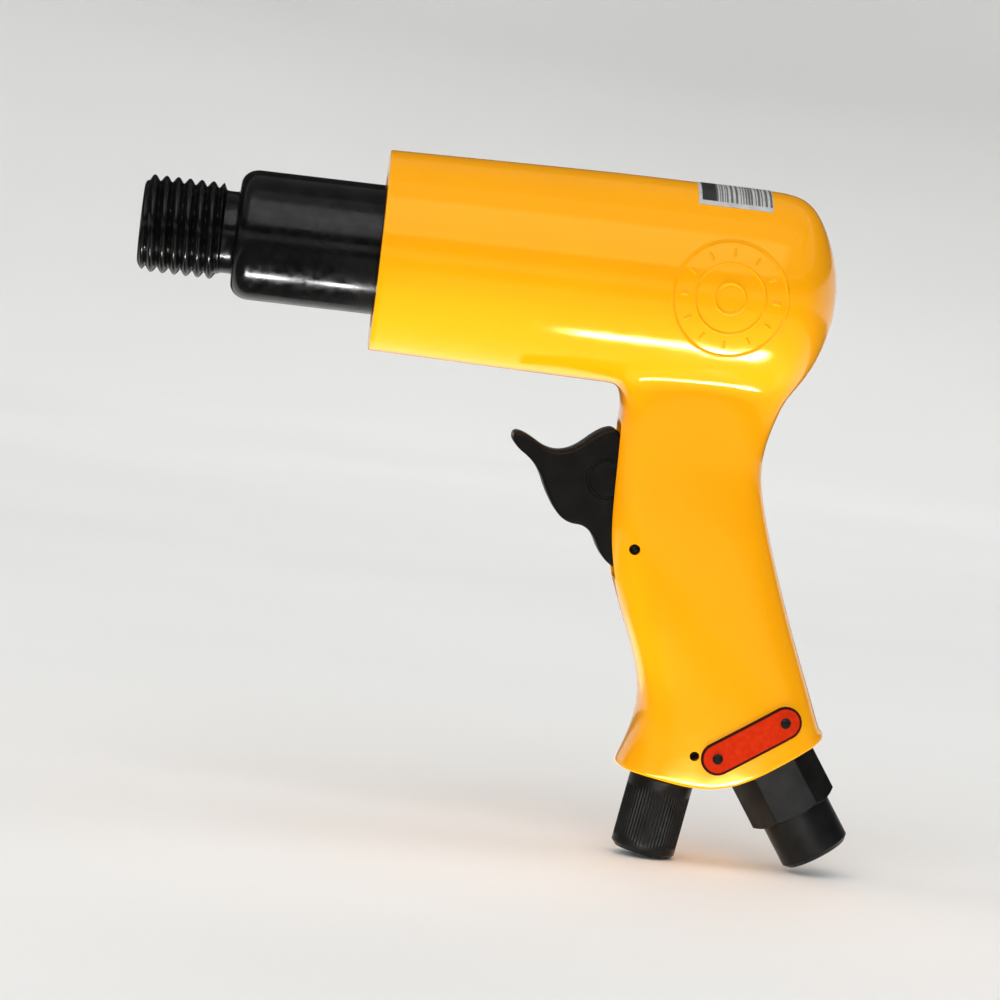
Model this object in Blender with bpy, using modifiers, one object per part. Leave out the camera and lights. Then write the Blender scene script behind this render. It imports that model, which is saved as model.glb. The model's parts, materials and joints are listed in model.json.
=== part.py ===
"""Pistol-grip pneumatic air hammer with its whole air and valve train.

Frame: metres, +Z up. The barrel lies along X with its muzzle towards -X, and the grip points down.
The origin is the middle of the base of the hammer's bounding box.

Every piece is placed under one empty, whose own frame is the tool frame: its origin is the centre
of the muzzle face, its +X runs back along the barrel's axis, and its +Z is up. Sizes below are in
millimetres in that tool frame.
"""

import math

import bmesh
import bpy
from mathutils import Matrix, Vector

MM = 0.001
MERGE = 0.00001

# Barrel
NOSE_LENGTH = 19.6
THREAD_PITCH = 2.8
THREAD_TURNS = 7
THREAD_CREST = 11.6
THREAD_ROOT = 10.2
NECK_END = 22.6
BARREL_RADIUS = 15.5
SHANK_RADIUS = 5.25
SHANK_DEPTH = 40.0
PISTON_BORE = 9.55
BARREL_END = 128.0
PISTON_LENGTH = 38.0
PISTON_REST_X = BARREL_END - PISTON_LENGTH - 0.8
VALVE_RADIUS = 14.0
FLANGE_START = 106.0
FLANGE_RADIUS = 16.4
EXHAUST_PORT_X = 84.0

# Casting
CASTING_START = 57.0
FRONT_RADIUS = 24.0
REAR_RADIUS = 25.0
MOUTH_RADIUS = 18.5
GRIP_SQUARENESS = 4.0
BASE_RIDGE_X = CASTING_START + 95.9
BASE_RIDGE_Z = -119.6
FRONT_FACET = math.radians(8.7)
REAR_FACET = math.radians(34.0)

# Trigger and throttle
PIVOT_X = CASTING_START + 68.3
PIVOT_Z = -63.3
PIVOT_PIN_RADIUS = 1.15
TRIGGER_WIDTH = 13.0
SLOT_HALF = TRIGGER_WIDTH / 2 + 0.6
THROTTLE_Z = -46.0
STEM_RADIUS = 2.0
SEAT_X = CASTING_START + 77.0
CHAMBER_END_X = CASTING_START + 94.0

# Air inlet and regulator, both measured out from the facet that each one stands on
INLET_OFFSET = 14.5
INLET_HEX_ACROSS = 19.0
INLET_HEX_LENGTH = 13.5
INLET_LENGTH = 25.2
INLET_RADIUS = 8.6
INLET_SHANK = 14.0
TIP_CHAMFER = 1.1
REGULATOR_OFFSET = 13.2
KNOB_RADIUS = 7.8
KNOB_LENGTH = 19.3
REGULATOR_STEM = 17.0
REGULATOR_STEM_RADIUS = 5.6
REGULATOR_PIN_RADIUS = 1.0
REGULATOR_PIN_DEPTH = 7.8
REGULATOR_PORT_DEPTH = 13.4
PIN_CLEARANCE = 0.15

# Labels
LABEL_CENTRE = Vector((CASTING_START + 101.3, 0, -105.4))
LABEL_HALF_LENGTH = 13.1
LABEL_HALF_HEIGHT = 4.0
RIVET_REACH = LABEL_HALF_LENGTH - LABEL_HALF_HEIGHT
SERIAL_LABEL_X = CASTING_START + 82.3
SERIAL_LABEL_LEAN = math.radians(17.5)
SERIAL_HALF_LENGTH = 8.9
SERIAL_HALF_HEIGHT = 8.6

GAP = 0.3
BODY_RING = 24
GRIP_RING = 16


def facet_z(x):
    """Height of the grip's base, two planes that meet on the ridge."""
    if x < BASE_RIDGE_X:
        return BASE_RIDGE_Z + (BASE_RIDGE_X - x) * math.tan(FRONT_FACET)
    return BASE_RIDGE_Z + (x - BASE_RIDGE_X) * math.tan(REAR_FACET)


INLET_CENTRE_X = BASE_RIDGE_X + INLET_OFFSET * math.cos(REAR_FACET)
INLET_CENTRE = Vector((INLET_CENTRE_X, 0, facet_z(INLET_CENTRE_X)))
INLET_OUT = Vector((math.sin(REAR_FACET), 0, -math.cos(REAR_FACET)))
REGULATOR_X = BASE_RIDGE_X - REGULATOR_OFFSET
REGULATOR_CENTRE = Vector((REGULATOR_X, 0, facet_z(REGULATOR_X)))
REGULATOR_OUT = Vector((-math.sin(FRONT_FACET), 0, -math.cos(FRONT_FACET)))
REGULATOR_REARWARD = Vector((math.cos(FRONT_FACET), 0, -math.sin(FRONT_FACET)))
REGULATOR_PIN = REGULATOR_CENTRE - REGULATOR_OUT * REGULATOR_PIN_DEPTH + REGULATOR_REARWARD * 4.4

# The chamfered ends of the two fittings set the tool's length and its height above the base.
INLET_TIP = INLET_CENTRE + INLET_OUT * INLET_LENGTH
INLET_RIM = INLET_TIP - INLET_OUT * TIP_CHAMFER
REGULATOR_TIP = REGULATOR_CENTRE + REGULATOR_OUT * KNOB_LENGTH
OVERALL_LENGTH = INLET_RIM.x + INLET_RADIUS * math.cos(REAR_FACET)
AXIS_HEIGHT = max(
    -INLET_TIP.z + (INLET_RADIUS - TIP_CHAMFER) * math.sin(REAR_FACET),
    -REGULATOR_TIP.z + (KNOB_RADIUS - TIP_CHAMFER) * math.sin(FRONT_FACET),
)

ALONG_BARREL = Vector((1, 0, 0))
ACROSS = Vector((0, 1, 0))


# Scene helpers


def clear_scene():
    for obj in list(bpy.data.objects):
        bpy.data.objects.remove(obj, do_unlink=True)


def new_collection(name):
    collection = bpy.data.collections.new(name)
    bpy.context.scene.collection.children.link(collection)
    return collection


def make_material(name, color, roughness, metallic):
    material = bpy.data.materials.new(name)
    material.use_nodes = True
    shader = material.node_tree.nodes["Principled BSDF"]
    shader.inputs["Base Color"].default_value = (*color, 1)
    shader.inputs["Roughness"].default_value = roughness
    shader.inputs["Metallic"].default_value = metallic
    return material


clear_scene()
PIECES = new_collection("air_hammer")
CUTTERS = new_collection("cutters")
TOOL = bpy.data.objects.new("tool_frame", None)
TOOL.location = (-OVERALL_LENGTH / 2 * MM, 0, AXIS_HEIGHT * MM)
PIECES.objects.link(TOOL)

PAINT = make_material("yellow_paint", (0.93, 0.42, 0.01), 0.22, 0.0)
BLACK_STEEL = make_material("black_oxide_steel", (0.02, 0.02, 0.018), 0.32, 0.9)
BRIGHT_STEEL = make_material("bright_steel", (0.55, 0.54, 0.52), 0.3, 1.0)
BLACK_TRIGGER = make_material("black_trigger", (0.018, 0.018, 0.017), 0.45, 0.0)
BRASS = make_material("brass", (0.72, 0.50, 0.20), 0.3, 1.0)
RUBBER = make_material("black_rubber", (0.02, 0.02, 0.02), 0.7, 0.0)
RED_LABEL = make_material("red_label", (0.75, 0.06, 0.02), 0.4, 0.0)
FOIL_LABEL = make_material("foil_label", (0.5, 0.5, 0.5), 0.4, 0.6)


def place(obj, material, at=(0, 0, 0), along=None, smooth_angle=35):
    """Puts a piece in the tool frame, with its local Z along a direction, and shades it."""
    obj.parent = TOOL
    obj.location = Vector(at) * MM
    if along is not None:
        obj.rotation_euler = Vector(along).to_track_quat("Z", "Y").to_euler()
    obj.data.materials.append(material)
    if obj.type == "MESH" and len(obj.data.polygons):
        obj.data.shade_smooth()
        obj.data.set_sharp_from_angle(angle=math.radians(smooth_angle))
    PIECES.objects.link(obj)
    return obj


def place_cutter(obj, at=(0, 0, 0), along=None):
    obj.parent = TOOL
    obj.location = Vector(at) * MM
    if along is not None:
        obj.rotation_euler = Vector(along).to_track_quat("Z", "Y").to_euler()
    obj.hide_render = True
    obj.display_type = "WIRE"
    CUTTERS.objects.link(obj)
    return obj


def combine(obj, other, operation="DIFFERENCE"):
    modifier = obj.modifiers.new(f"{operation.lower()}_{other.name}", "BOOLEAN")
    modifier.operation = operation
    modifier.object = other
    modifier.solver = "EXACT"
    return modifier


# Shape makers. Each returns an object that is not yet placed, with sizes in millimetres.


def object_from(name, bm):
    mesh = bpy.data.meshes.new(name)
    bm.to_mesh(mesh)
    bm.free()
    return bpy.data.objects.new(name, mesh)


def lathe(name, path, steps=24, closed=False):
    """Turns a path of (radius, height) about local Z. The path runs down the outer side."""
    mesh = bpy.data.meshes.new(name)
    edges = [(i, i + 1) for i in range(len(path) - 1)]
    if closed:
        edges.append((len(path) - 1, 0))
    mesh.from_pydata([(r * MM, 0, h * MM) for r, h in path], edges, [])
    obj = bpy.data.objects.new(name, mesh)
    screw = obj.modifiers.new("turn", "SCREW")
    screw.axis = "Z"
    screw.steps = steps
    screw.render_steps = steps
    screw.use_smooth_shade = True
    screw.use_merge_vertices = True
    screw.merge_threshold = MERGE
    return obj


def solid_lathe(name, outer, steps=24):
    """A solid turned piece. outer is (height, radius) from low to high."""
    path = [(0, outer[-1][0])]
    path += [(r, h) for h, r in reversed(outer)]
    path.append((0, outer[0][0]))
    return lathe(name, path, steps)


def bored_lathe(name, outer, inner, steps=24):
    """A turned piece with a through bore. Both lists are (height, radius) from low to high."""
    path = [(r, h) for h, r in reversed(outer)] + [(r, h) for h, r in inner]
    return lathe(name, path, steps, closed=True)


def cylinder(name, radius, low, high, steps=20):
    bm = bmesh.new()
    bmesh.ops.create_cone(
        bm,
        cap_ends=True,
        segments=steps,
        radius1=radius * MM,
        radius2=radius * MM,
        depth=(high - low) * MM,
        matrix=Matrix.Translation((0, 0, (low + high) / 2 * MM)),
    )
    return object_from(name, bm)


def box(name, low, high):
    bm = bmesh.new()
    low, high = Vector(low) * MM, Vector(high) * MM
    bmesh.ops.create_cube(bm, size=1)
    bmesh.ops.scale(bm, vec=high - low, verts=bm.verts)
    bmesh.ops.translate(bm, vec=(low + high) / 2, verts=bm.verts)
    return object_from(name, bm)


def torus_ring(name, major, minor, steps=20, sides=6):
    path = []
    for i in range(sides):
        angle = -2 * math.pi * i / sides
        path.append((major + minor * math.cos(angle), minor * math.sin(angle)))
    return lathe(name, path, steps, closed=True)


def mesh_from_curve(curve_obj):
    """The evaluated curve as a welded mesh object, so that Booleans can use it."""
    bpy.context.scene.collection.objects.link(curve_obj)
    bpy.context.view_layer.update()
    graph = bpy.context.evaluated_depsgraph_get()
    mesh = bpy.data.meshes.new_from_object(curve_obj.evaluated_get(graph))
    bm = bmesh.new()
    bm.from_mesh(mesh)
    bmesh.ops.remove_doubles(bm, verts=bm.verts, dist=MERGE)
    bmesh.ops.recalc_face_normals(bm, faces=bm.faces)
    bm.to_mesh(mesh)
    bm.free()
    name = curve_obj.name
    obj = bpy.data.objects.new(name + "_mesh", mesh)
    obj.matrix_world = curve_obj.matrix_world
    bpy.data.objects.remove(curve_obj, do_unlink=True)
    obj.name = name
    return obj


def side_plate(name, outline, width):
    """Extrudes an outline of (x, z) points across the tool, centred on its middle plane."""
    curve = bpy.data.curves.new(name, "CURVE")
    curve.dimensions = "2D"
    curve.fill_mode = "BOTH"
    curve.extrude = width / 2 * MM
    spline = curve.splines.new("POLY")
    spline.points.add(len(outline) - 1)
    for point, (x, z) in zip(spline.points, outline, strict=True):
        point.co = (x * MM, z * MM, 0, 1)
    spline.use_cyclic_u = True
    flat = bpy.data.objects.new(name, curve)
    obj = mesh_from_curve(flat)
    obj.data.transform(Matrix.Rotation(math.radians(90), 4, "X"))
    return obj


def smooth_outline(corners, per_corner=4):
    """Rounds a coarse polygon into a closed quadratic B-spline, per_corner points to a corner."""
    points = []
    count = len(corners)
    for i in range(count):
        before, here, after = (Vector(corners[(i + k) % count]) for k in (-1, 0, 1))
        start, end = (before + here) / 2, (here + after) / 2
        for k in range(per_corner):
            t = k / per_corner
            points.append(tuple((1 - t) ** 2 * start + 2 * t * (1 - t) * here + t * t * end))
    return points


def helix(name, coil_radius, wire_radius, length, turns, per_turn=10):
    """A compression spring as one tube along local Z."""
    curve = bpy.data.curves.new(name, "CURVE")
    curve.dimensions = "3D"
    curve.bevel_depth = wire_radius * MM
    curve.bevel_resolution = 1
    curve.use_fill_caps = True
    count = turns * per_turn + 1
    spline = curve.splines.new("POLY")
    spline.points.add(count - 1)
    for i, point in enumerate(spline.points):
        angle = 2 * math.pi * i / per_turn
        height = wire_radius + (length - 2 * wire_radius) * i / (count - 1)
        x, y = coil_radius * math.cos(angle), coil_radius * math.sin(angle)
        point.co = (x * MM, y * MM, height * MM, 1)
    return bpy.data.objects.new(name, curve)


def slotted_tube(name, radius, wall, length, slot=0.5):
    """A rolled spring pin: a tube with one narrow slot along it, centred on its origin."""
    obj = bored_lathe(
        name,
        [(-length / 2, radius - 0.25), (-length / 2 + 0.6, radius), (length / 2 - 0.6, radius),
         (length / 2, radius - 0.25)],
        [(-length / 2, radius - wall), (length / 2, radius - wall)],
        steps=16,
    )
    cut = box(name + "_slot", (0, -slot / 2, -length), (radius + 1, slot / 2, length))
    return obj, cut


# Casting


BODY_STATIONS = (
    # x from the casting's front face, radius; the grip leaves between the 6th and the 10th
    (0.0, FRONT_RADIUS),
    (12.0, 24.2),
    (27.0, 24.5),
    (43.0, 24.8),
    (56.4, REAR_RADIUS),
    (60.0, REAR_RADIUS),
    (69.0, REAR_RADIUS),
    (80.0, REAR_RADIUS),
    (91.0, REAR_RADIUS),
    (100.4, 24.7),
    (105.3, 18.4),
    (108.5, 10.6),
    (109.9, 4.0),
)
GRIP_FIRST, GRIP_LAST = 5, 9
UNDER = (BODY_RING - 2, BODY_RING - 1, 0, 1)

NECK_FRONT, NECK_BACK, NECK_HALF_WIDTH = 61.9, 99.0, 12.9
NECK_FRONT_Z, NECK_SIDE_Z, NECK_BACK_Z = -27.3, -25.6, -29.5

GRIP_ROWS = (
    # z, front x, back x (both from the casting's front face), half width
    (-32.0, 61.9, 97.4, 12.8),
    (-41.0, 62.1, 96.2, 13.3),
    (-53.0, 62.3, 99.0, 14.5),
    (-64.0, 62.8, 103.0, 15.2),
    (-77.0, 67.2, 107.8, 15.6),
    (-90.0, 73.3, 113.2, 15.8),
    (-101.0, 76.0, 117.4, 16.0),
)
BASE_FRONT, BASE_BACK, BASE_HALF_WIDTH = 70.9, 119.4, 16.0


def spline_shrink(ring):
    """How far inside a round control ring its smooth surface lies."""
    return 2 / 3 + math.cos(2 * math.pi / ring) / 3


def body_ring(station, radius):
    r = radius / spline_shrink(BODY_RING)
    angles = [2 * math.pi * j / BODY_RING for j in range(BODY_RING)]
    return [Vector((CASTING_START + station, r * math.sin(a), -r * math.cos(a))) for a in angles]


def grip_point(k, front, back, half_width):
    """Point k of a ring round the grip, a superellipse that starts at its front edge."""
    angle = 2 * math.pi * k / GRIP_RING
    cosine, sine = math.cos(angle), math.sin(angle)
    power = 2 / GRIP_SQUARENESS
    reach = math.copysign(abs(cosine) ** power, cosine)
    side = math.copysign(abs(sine) ** power, sine)
    middle, half = (front + back) / 2, (back - front) / 2 / spline_shrink(GRIP_RING)
    return CASTING_START + middle - half * reach, half_width * side


def neck_z(k):
    """Height of the neck's ring, which follows the body round, from its side to each end."""
    cosine = math.cos(2 * math.pi * k / GRIP_RING)
    end = NECK_FRONT_Z if cosine > 0 else NECK_BACK_Z
    return NECK_SIDE_Z + (end - NECK_SIDE_Z) * cosine**2


def grip_rings(bm, body):
    """Rings of vertices from the hole under the body down to the base."""
    first, last = body[GRIP_FIRST], body[GRIP_LAST]
    middle = body[GRIP_FIRST + 1 : GRIP_LAST]
    loop = [first[0], first[1], first[2]] + [ring[2] for ring in middle]
    loop += [last[2], last[1], last[0], last[-1], last[-2]]
    loop += [ring[-2] for ring in reversed(middle)] + [first[-2], first[-1]]
    neck, base = [], []
    for k in range(GRIP_RING):
        x, y = grip_point(k, NECK_FRONT, NECK_BACK, NECK_HALF_WIDTH)
        neck.append(bm.verts.new((x, y, neck_z(k))))
        x, y = grip_point(k, BASE_FRONT, BASE_BACK, BASE_HALF_WIDTH)
        if k in (4, 12):
            x = BASE_RIDGE_X
        base.append(bm.verts.new((x, y, facet_z(x))))
    rows = []
    for z, front, back, half_width in GRIP_ROWS:
        points = [grip_point(k, front, back, half_width) for k in range(GRIP_RING)]
        rows.append([bm.verts.new((x, y, z)) for x, y in points])
    return [loop, neck, *rows, base]


def casting_cage():
    """The control cage of the casting: a round body that ends in a dome, and the grip under it."""
    bm = bmesh.new()
    body = [[bm.verts.new(p) for p in body_ring(x, r)] for x, r in BODY_STATIONS]
    for i in range(len(body) - 1):
        for j in range(BODY_RING):
            if GRIP_FIRST <= i < GRIP_LAST and j in UNDER:
                continue
            k = (j + 1) % BODY_RING
            bm.faces.new((body[i][j], body[i][k], body[i + 1][k], body[i + 1][j]))
    bm.faces.new(body[0])
    bm.faces.new(body[-1])
    rings = grip_rings(bm, body)
    for upper, lower in zip(rings, rings[1:]):
        for k in range(GRIP_RING):
            m = (k + 1) % GRIP_RING
            bm.faces.new((upper[k], upper[m], lower[m], lower[k]))
    base = rings[-1]
    bm.faces.new([base[k] for k in (13, 14, 15, 0, 1, 2, 3)])
    bm.faces.new([base[k] for k in (3, 4, 12, 13)])
    bm.faces.new([base[k] for k in (4, 5, 11, 12)])
    bm.faces.new([base[k] for k in (5, 6, 7, 8, 9, 10, 11)])

    crease = bm.edges.layers.float.new("crease_edge")
    for sharp in (body[0], base):
        for k, vertex in enumerate(sharp):
            bm.edges.get((vertex, sharp[k - 1]))[crease] = 1.0
    bmesh.ops.scale(bm, vec=(MM, MM, MM), verts=bm.verts)
    bmesh.ops.recalc_face_normals(bm, faces=bm.faces)
    return bm


def barrel_seat_cutter():
    """The turned hollow that takes the barrel, the valve chest and the air chamber behind it."""
    return solid_lathe(
        "cut_barrel_seat",
        [
            (CASTING_START - 2, MOUTH_RADIUS),
            (98.0, MOUTH_RADIUS),
            (98.0, FLANGE_RADIUS + 0.4),
            (BARREL_END + GAP, FLANGE_RADIUS + 0.4),
            (BARREL_END + GAP, 14.4),
            (148.6, 14.4),
            (148.6, 10.0),
            (154.0, 10.0),
        ],
    )


def passage_cutter(name, start, end, radius, steps=10):
    start, end = Vector(start), Vector(end)
    obj = cylinder(name, radius, 0, (end - start).length, steps)
    return place_cutter(obj, start, end - start)


def cross_hole_cutter(name, middle, radius):
    """A hole for a pin, right across the tool."""
    middle = Vector(middle)
    return passage_cutter(name, middle - ACROSS * 30, middle + ACROSS * 30, radius, 12)


def make_casting():
    casting = object_from("housing", casting_cage())
    surface = casting.modifiers.new("surface", "SUBSURF")
    surface.levels = 1
    surface.render_levels = 1
    place(casting, PAINT, smooth_angle=40)
    slot_start = CASTING_START + 50
    throttle_seat = Vector((SEAT_X, 0, THROTTLE_Z))
    regulator_end = REGULATOR_CENTRE - REGULATOR_OUT * (REGULATOR_STEM + 0.6)
    link_start = INLET_CENTRE - INLET_OUT * (INLET_SHANK - 0.5)
    link_end = REGULATOR_CENTRE - REGULATOR_OUT * REGULATOR_PORT_DEPTH
    riser_start = REGULATOR_CENTRE - REGULATOR_OUT * (REGULATOR_STEM - 1)
    cuts = [
        place_cutter(barrel_seat_cutter(), along=ALONG_BARREL),
        place_cutter(box(
            "cut_trigger_slot", (slot_start, -SLOT_HALF, -57), (CASTING_START + 68.5, SLOT_HALF, -34.5))),
        place_cutter(box(
            "cut_pivot_slot", (slot_start + 1, -SLOT_HALF, -71.0), (PIVOT_X + 6, SLOT_HALF, -56))),
        cross_hole_cutter("cut_pivot_pin", (PIVOT_X, 0, PIVOT_Z), PIVOT_PIN_RADIUS + PIN_CLEARANCE),
        cross_hole_cutter("cut_regulator_pin", REGULATOR_PIN, REGULATOR_PIN_RADIUS + PIN_CLEARANCE),
        passage_cutter(
            "cut_throttle_bushing", (CASTING_START + 66, 0, THROTTLE_Z),
            throttle_seat + ALONG_BARREL * GAP, 6.1, 16),
        passage_cutter(
            "cut_throttle_chamber", throttle_seat - ALONG_BARREL, (CHAMBER_END_X, 0, THROTTLE_Z), 5.2, 16),
        passage_cutter(
            "cut_feed", (CASTING_START + 73, 0, THROTTLE_Z + 3), (CASTING_START + 97.5, 0, -6), 2.6),
        passage_cutter(
            "cut_inlet", INLET_CENTRE + INLET_OUT * 5, INLET_CENTRE - INLET_OUT * (INLET_SHANK + 1), 8.0, 20),
        passage_cutter(
            "cut_regulator", REGULATOR_CENTRE + REGULATOR_OUT * 5, regulator_end,
            REGULATOR_STEM_RADIUS + 0.4, 20),
        passage_cutter("cut_link", link_start, link_end, 2.8),
        passage_cutter("cut_riser", riser_start, (CASTING_START + 87.5, 0, THROTTLE_Z), 3.6),
    ]
    for cut in cuts:
        combine(casting, cut)
    return casting


# Barrel, piston and valve


def thread_profile():
    """(height, radius) along the nose: round ridges that a wire retainer screws on to."""
    start = 0.9
    points = []
    for turn in range(THREAD_TURNS):
        low = start + turn * THREAD_PITCH
        if turn:
            points.append((low - THREAD_PITCH * 0.1, THREAD_ROOT))
        points.append((low + THREAD_PITCH * 0.25, THREAD_CREST))
        points.append((low + THREAD_PITCH * 0.6, THREAD_CREST))
    return points


def make_barrel():
    outer = [(0.0, THREAD_ROOT - 0.3)]
    outer += thread_profile()
    outer += [(NOSE_LENGTH + 0.6, 9.8), (NECK_END, 9.8)]
    round_start, round_axial, round_radial = 11.8, 4.4, BARREL_RADIUS - 11.8
    for i in range(4):
        angle = math.radians(90) * i / 3
        height = NECK_END + round_axial * (1 - math.cos(angle))
        outer.append((height, round_start + round_radial * math.sin(angle)))
    outer += [
        (FLANGE_START, BARREL_RADIUS),
        (FLANGE_START, FLANGE_RADIUS),
        (BARREL_END, FLANGE_RADIUS),
    ]
    inner = [
        (0.0, SHANK_RADIUS + 1.4),
        (1.4, SHANK_RADIUS),
        (SHANK_DEPTH, SHANK_RADIUS),
        (SHANK_DEPTH, PISTON_BORE),
        (BARREL_END, PISTON_BORE),
    ]
    barrel = place(bored_lathe("barrel", outer, inner), BLACK_STEEL, along=ALONG_BARREL)
    for name, direction in (("cut_ports_side", ACROSS), ("cut_ports_top", Vector((0, 0, 1)))):
        cut = cylinder(name, 2.2, -20, 20, 8)
        combine(barrel, place_cutter(cut, (EXHAUST_PORT_X, 0, 0), direction))
    return barrel


def make_piston():
    radius = PISTON_BORE - 0.25
    outer = [
        (0.0, 5.6),
        (1.5, 6.4),
        (6.0, 6.4),
        (8.0, radius),
        (14.0, radius),
        (14.6, radius - 0.6),
        (16.0, radius - 0.6),
        (16.6, radius),
        (PISTON_LENGTH - 1.0, radius),
        (PISTON_LENGTH, radius - 1.0),
    ]
    piston = solid_lathe("piston", outer)
    return place(piston, BRIGHT_STEEL, (PISTON_REST_X, 0, 0), ALONG_BARREL)


def make_valve():
    start = BARREL_END + 0.4
    front = bored_lathe(
        "valve_front_plate",
        [(0.0, VALVE_RADIUS), (6.0, VALVE_RADIUS)],
        [(0.0, 3.5), (3.0, 3.5), (3.0, 9.2), (6.0, 9.2)],
    )
    place(front, BRIGHT_STEEL, (start, 0, 0), ALONG_BARREL)
    disc = bored_lathe("valve_disc", [(0.0, 8.7), (1.4, 8.7)], [(0.0, 2.0), (1.4, 2.0)], steps=20)
    place(disc, BRIGHT_STEEL, (start + 3.3, 0, 0), ALONG_BARREL)
    cap = bored_lathe(
        "valve_rear_cap",
        [(0.0, VALVE_RADIUS), (9.5, VALVE_RADIUS), (11.0, 12.5)],
        [(0.0, 5.0), (6.0, 5.0), (6.0, 3.0), (11.0, 3.0)],
    )
    place(cap, BRIGHT_STEEL, (start + 6.3, 0, 0), ALONG_BARREL)
    for piece in (front, cap):
        hole = cylinder("cut_dowel_" + piece.name, 1.2, -1, 12, 8)
        at = (piece.location.x / MM, 0, 11.4)
        combine(piece, place_cutter(hole, at, ALONG_BARREL))
    dowel = cylinder("valve_dowel_pin", 0.95, 0.4, 15.0, 10)
    place(dowel, BRIGHT_STEEL, (start, 0, 11.4), ALONG_BARREL)
    seal = bored_lathe("valve_seal_ring", [(0.0, 13.8), (1.2, 13.8)], [(0.0, 10.6), (1.2, 10.6)], 20)
    place(seal, RUBBER, (start + 18.0, 0, 0), ALONG_BARREL)
    combine(cap, place_cutter(
        bored_lathe("cut_seal_seat", [(0.0, 16.0), (4.0, 16.0)], [(0.0, 10.2), (4.0, 10.2)], 20),
        (start + 17.0 - GAP, 0, 0), ALONG_BARREL))


# Trigger and throttle


TRIGGER_CORNERS = (
    # x from the casting's front face, z; a coarse polygon that smooth_outline rounds
    (63.6, -38.0),
    (59.6, -34.4),
    (48.8, -44.6),
    (37.6, -37.8),
    (36.2, -41.6),
    (43.4, -46.2),
    (46.6, -53.6),
    (51.0, -59.4),
    (57.6, -59.4),
    (61.6, -67.8),
    (68.2, -69.8),
    (73.6, -65.8),
    (72.6, -58.8),
    (65.6, -58.0),
    (64.6, -50.0),
)
TRIGGER_POCKET = (
    (51.4, -42.6),
    (59.6, -38.9),
    (72.0, -38.9),
    (72.0, -55.8),
    (58.8, -54.8),
    (53.0, -54.8),
    (50.0, -52.0),
)


def make_trigger():
    outline = [(CASTING_START + x, z) for x, z in smooth_outline(TRIGGER_CORNERS, 3)]
    trigger = side_plate("trigger", outline, TRIGGER_WIDTH)
    offset = Matrix.Translation(Vector((-PIVOT_X, 0, -PIVOT_Z)) * MM)
    trigger.data.transform(offset)
    place(trigger, BLACK_TRIGGER, (PIVOT_X, 0, PIVOT_Z))
    bevel = trigger.modifiers.new("soften", "BEVEL")
    bevel.width = 0.8 * MM
    bevel.segments = 1
    bevel.limit_method = "ANGLE"
    bevel.angle_limit = math.radians(60)
    pocket = side_plate(
        "cut_trigger_pocket", [(CASTING_START + x, z) for x, z in TRIGGER_POCKET], 8.6)
    combine(trigger, place_cutter(pocket))
    combine(trigger, cross_hole_cutter(
        "cut_trigger_pin", (PIVOT_X, 0, PIVOT_Z), PIVOT_PIN_RADIUS + GAP))
    pin, slot = slotted_tube("trigger_pin", PIVOT_PIN_RADIUS, 0.4, 25.6)
    place(pin, BLACK_STEEL, (PIVOT_X, 0, PIVOT_Z), ACROSS)
    combine(pin, place_cutter(slot, (PIVOT_X, 0, PIVOT_Z), ACROSS))


def make_throttle():
    bushing_start = CASTING_START + 68.8
    length = SEAT_X - bushing_start
    bore = STEM_RADIUS + GAP
    bushing = bored_lathe(
        "throttle_bushing",
        [(0.0, 5.8), (3.2, 5.8), (3.2, 4.6), (5.0, 4.6), (5.0, 5.8), (length, 5.8)],
        [(0.0, bore), (1.2, bore), (1.2, 3.7), (2.9, 3.7), (2.9, bore), (4.8, bore), (4.8, 3.5),
         (length, 3.5)],
        steps=18,
    )
    place(bushing, BRASS, (bushing_start, 0, THROTTLE_Z), ALONG_BARREL)
    port = cylinder("cut_bushing_port", 1.5, 0, 10, 8)
    combine(bushing, place_cutter(port, (bushing_start + 6.9, 0, THROTTLE_Z), (0, 0, 1)))
    bushing_ring = torus_ring("throttle_bushing_o_ring", 5.25, 0.55)
    place(bushing_ring, RUBBER, (bushing_start + 4.1, 0, THROTTLE_Z), ALONG_BARREL)
    stem_ring = torus_ring("throttle_stem_o_ring", 3.0, 0.42, 14)
    place(stem_ring, RUBBER, (bushing_start + 2.05, 0, THROTTLE_Z), ALONG_BARREL)

    stem_start = CASTING_START + 51.5
    head = SEAT_X + GAP
    stem = solid_lathe(
        "throttle_stem",
        [
            (0.0, 1.3),
            (0.8, STEM_RADIUS),
            (head - stem_start, STEM_RADIUS),
            (head - stem_start, 1.4),
            (head - stem_start + 5.4, 1.4),
        ],
        steps=14,
    )
    place(stem, BRIGHT_STEEL, (stem_start, 0, THROTTLE_Z), ALONG_BARREL)
    washer = bored_lathe(
        "throttle_valve_washer", [(0.0, 4.4), (1.6, 4.4)], [(0.0, 1.7), (1.6, 1.7)], steps=18)
    place(washer, RUBBER, (head + 0.2, 0, THROTTLE_Z), ALONG_BARREL)
    retainer = bored_lathe(
        "throttle_valve_retainer",
        [(0.0, 4.2), (1.2, 4.2), (1.2, 2.2), (3.2, 2.2)],
        [(0.0, 1.7), (3.2, 1.7)],
        steps=18,
    )
    place(retainer, BRASS, (head + 2.1, 0, THROTTLE_Z), ALONG_BARREL)
    spring_start = head + 2.1 + 1.5
    spring = helix("throttle_spring", 3.3, 0.45, CHAMBER_END_X - GAP - spring_start, 4)
    spring.data.materials.append(BRIGHT_STEEL)
    spring.parent = TOOL
    spring.location = Vector((spring_start, 0, THROTTLE_Z)) * MM
    spring.rotation_euler = ALONG_BARREL.to_track_quat("Z", "Y").to_euler()
    PIECES.objects.link(spring)


# Air inlet and regulator


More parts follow.
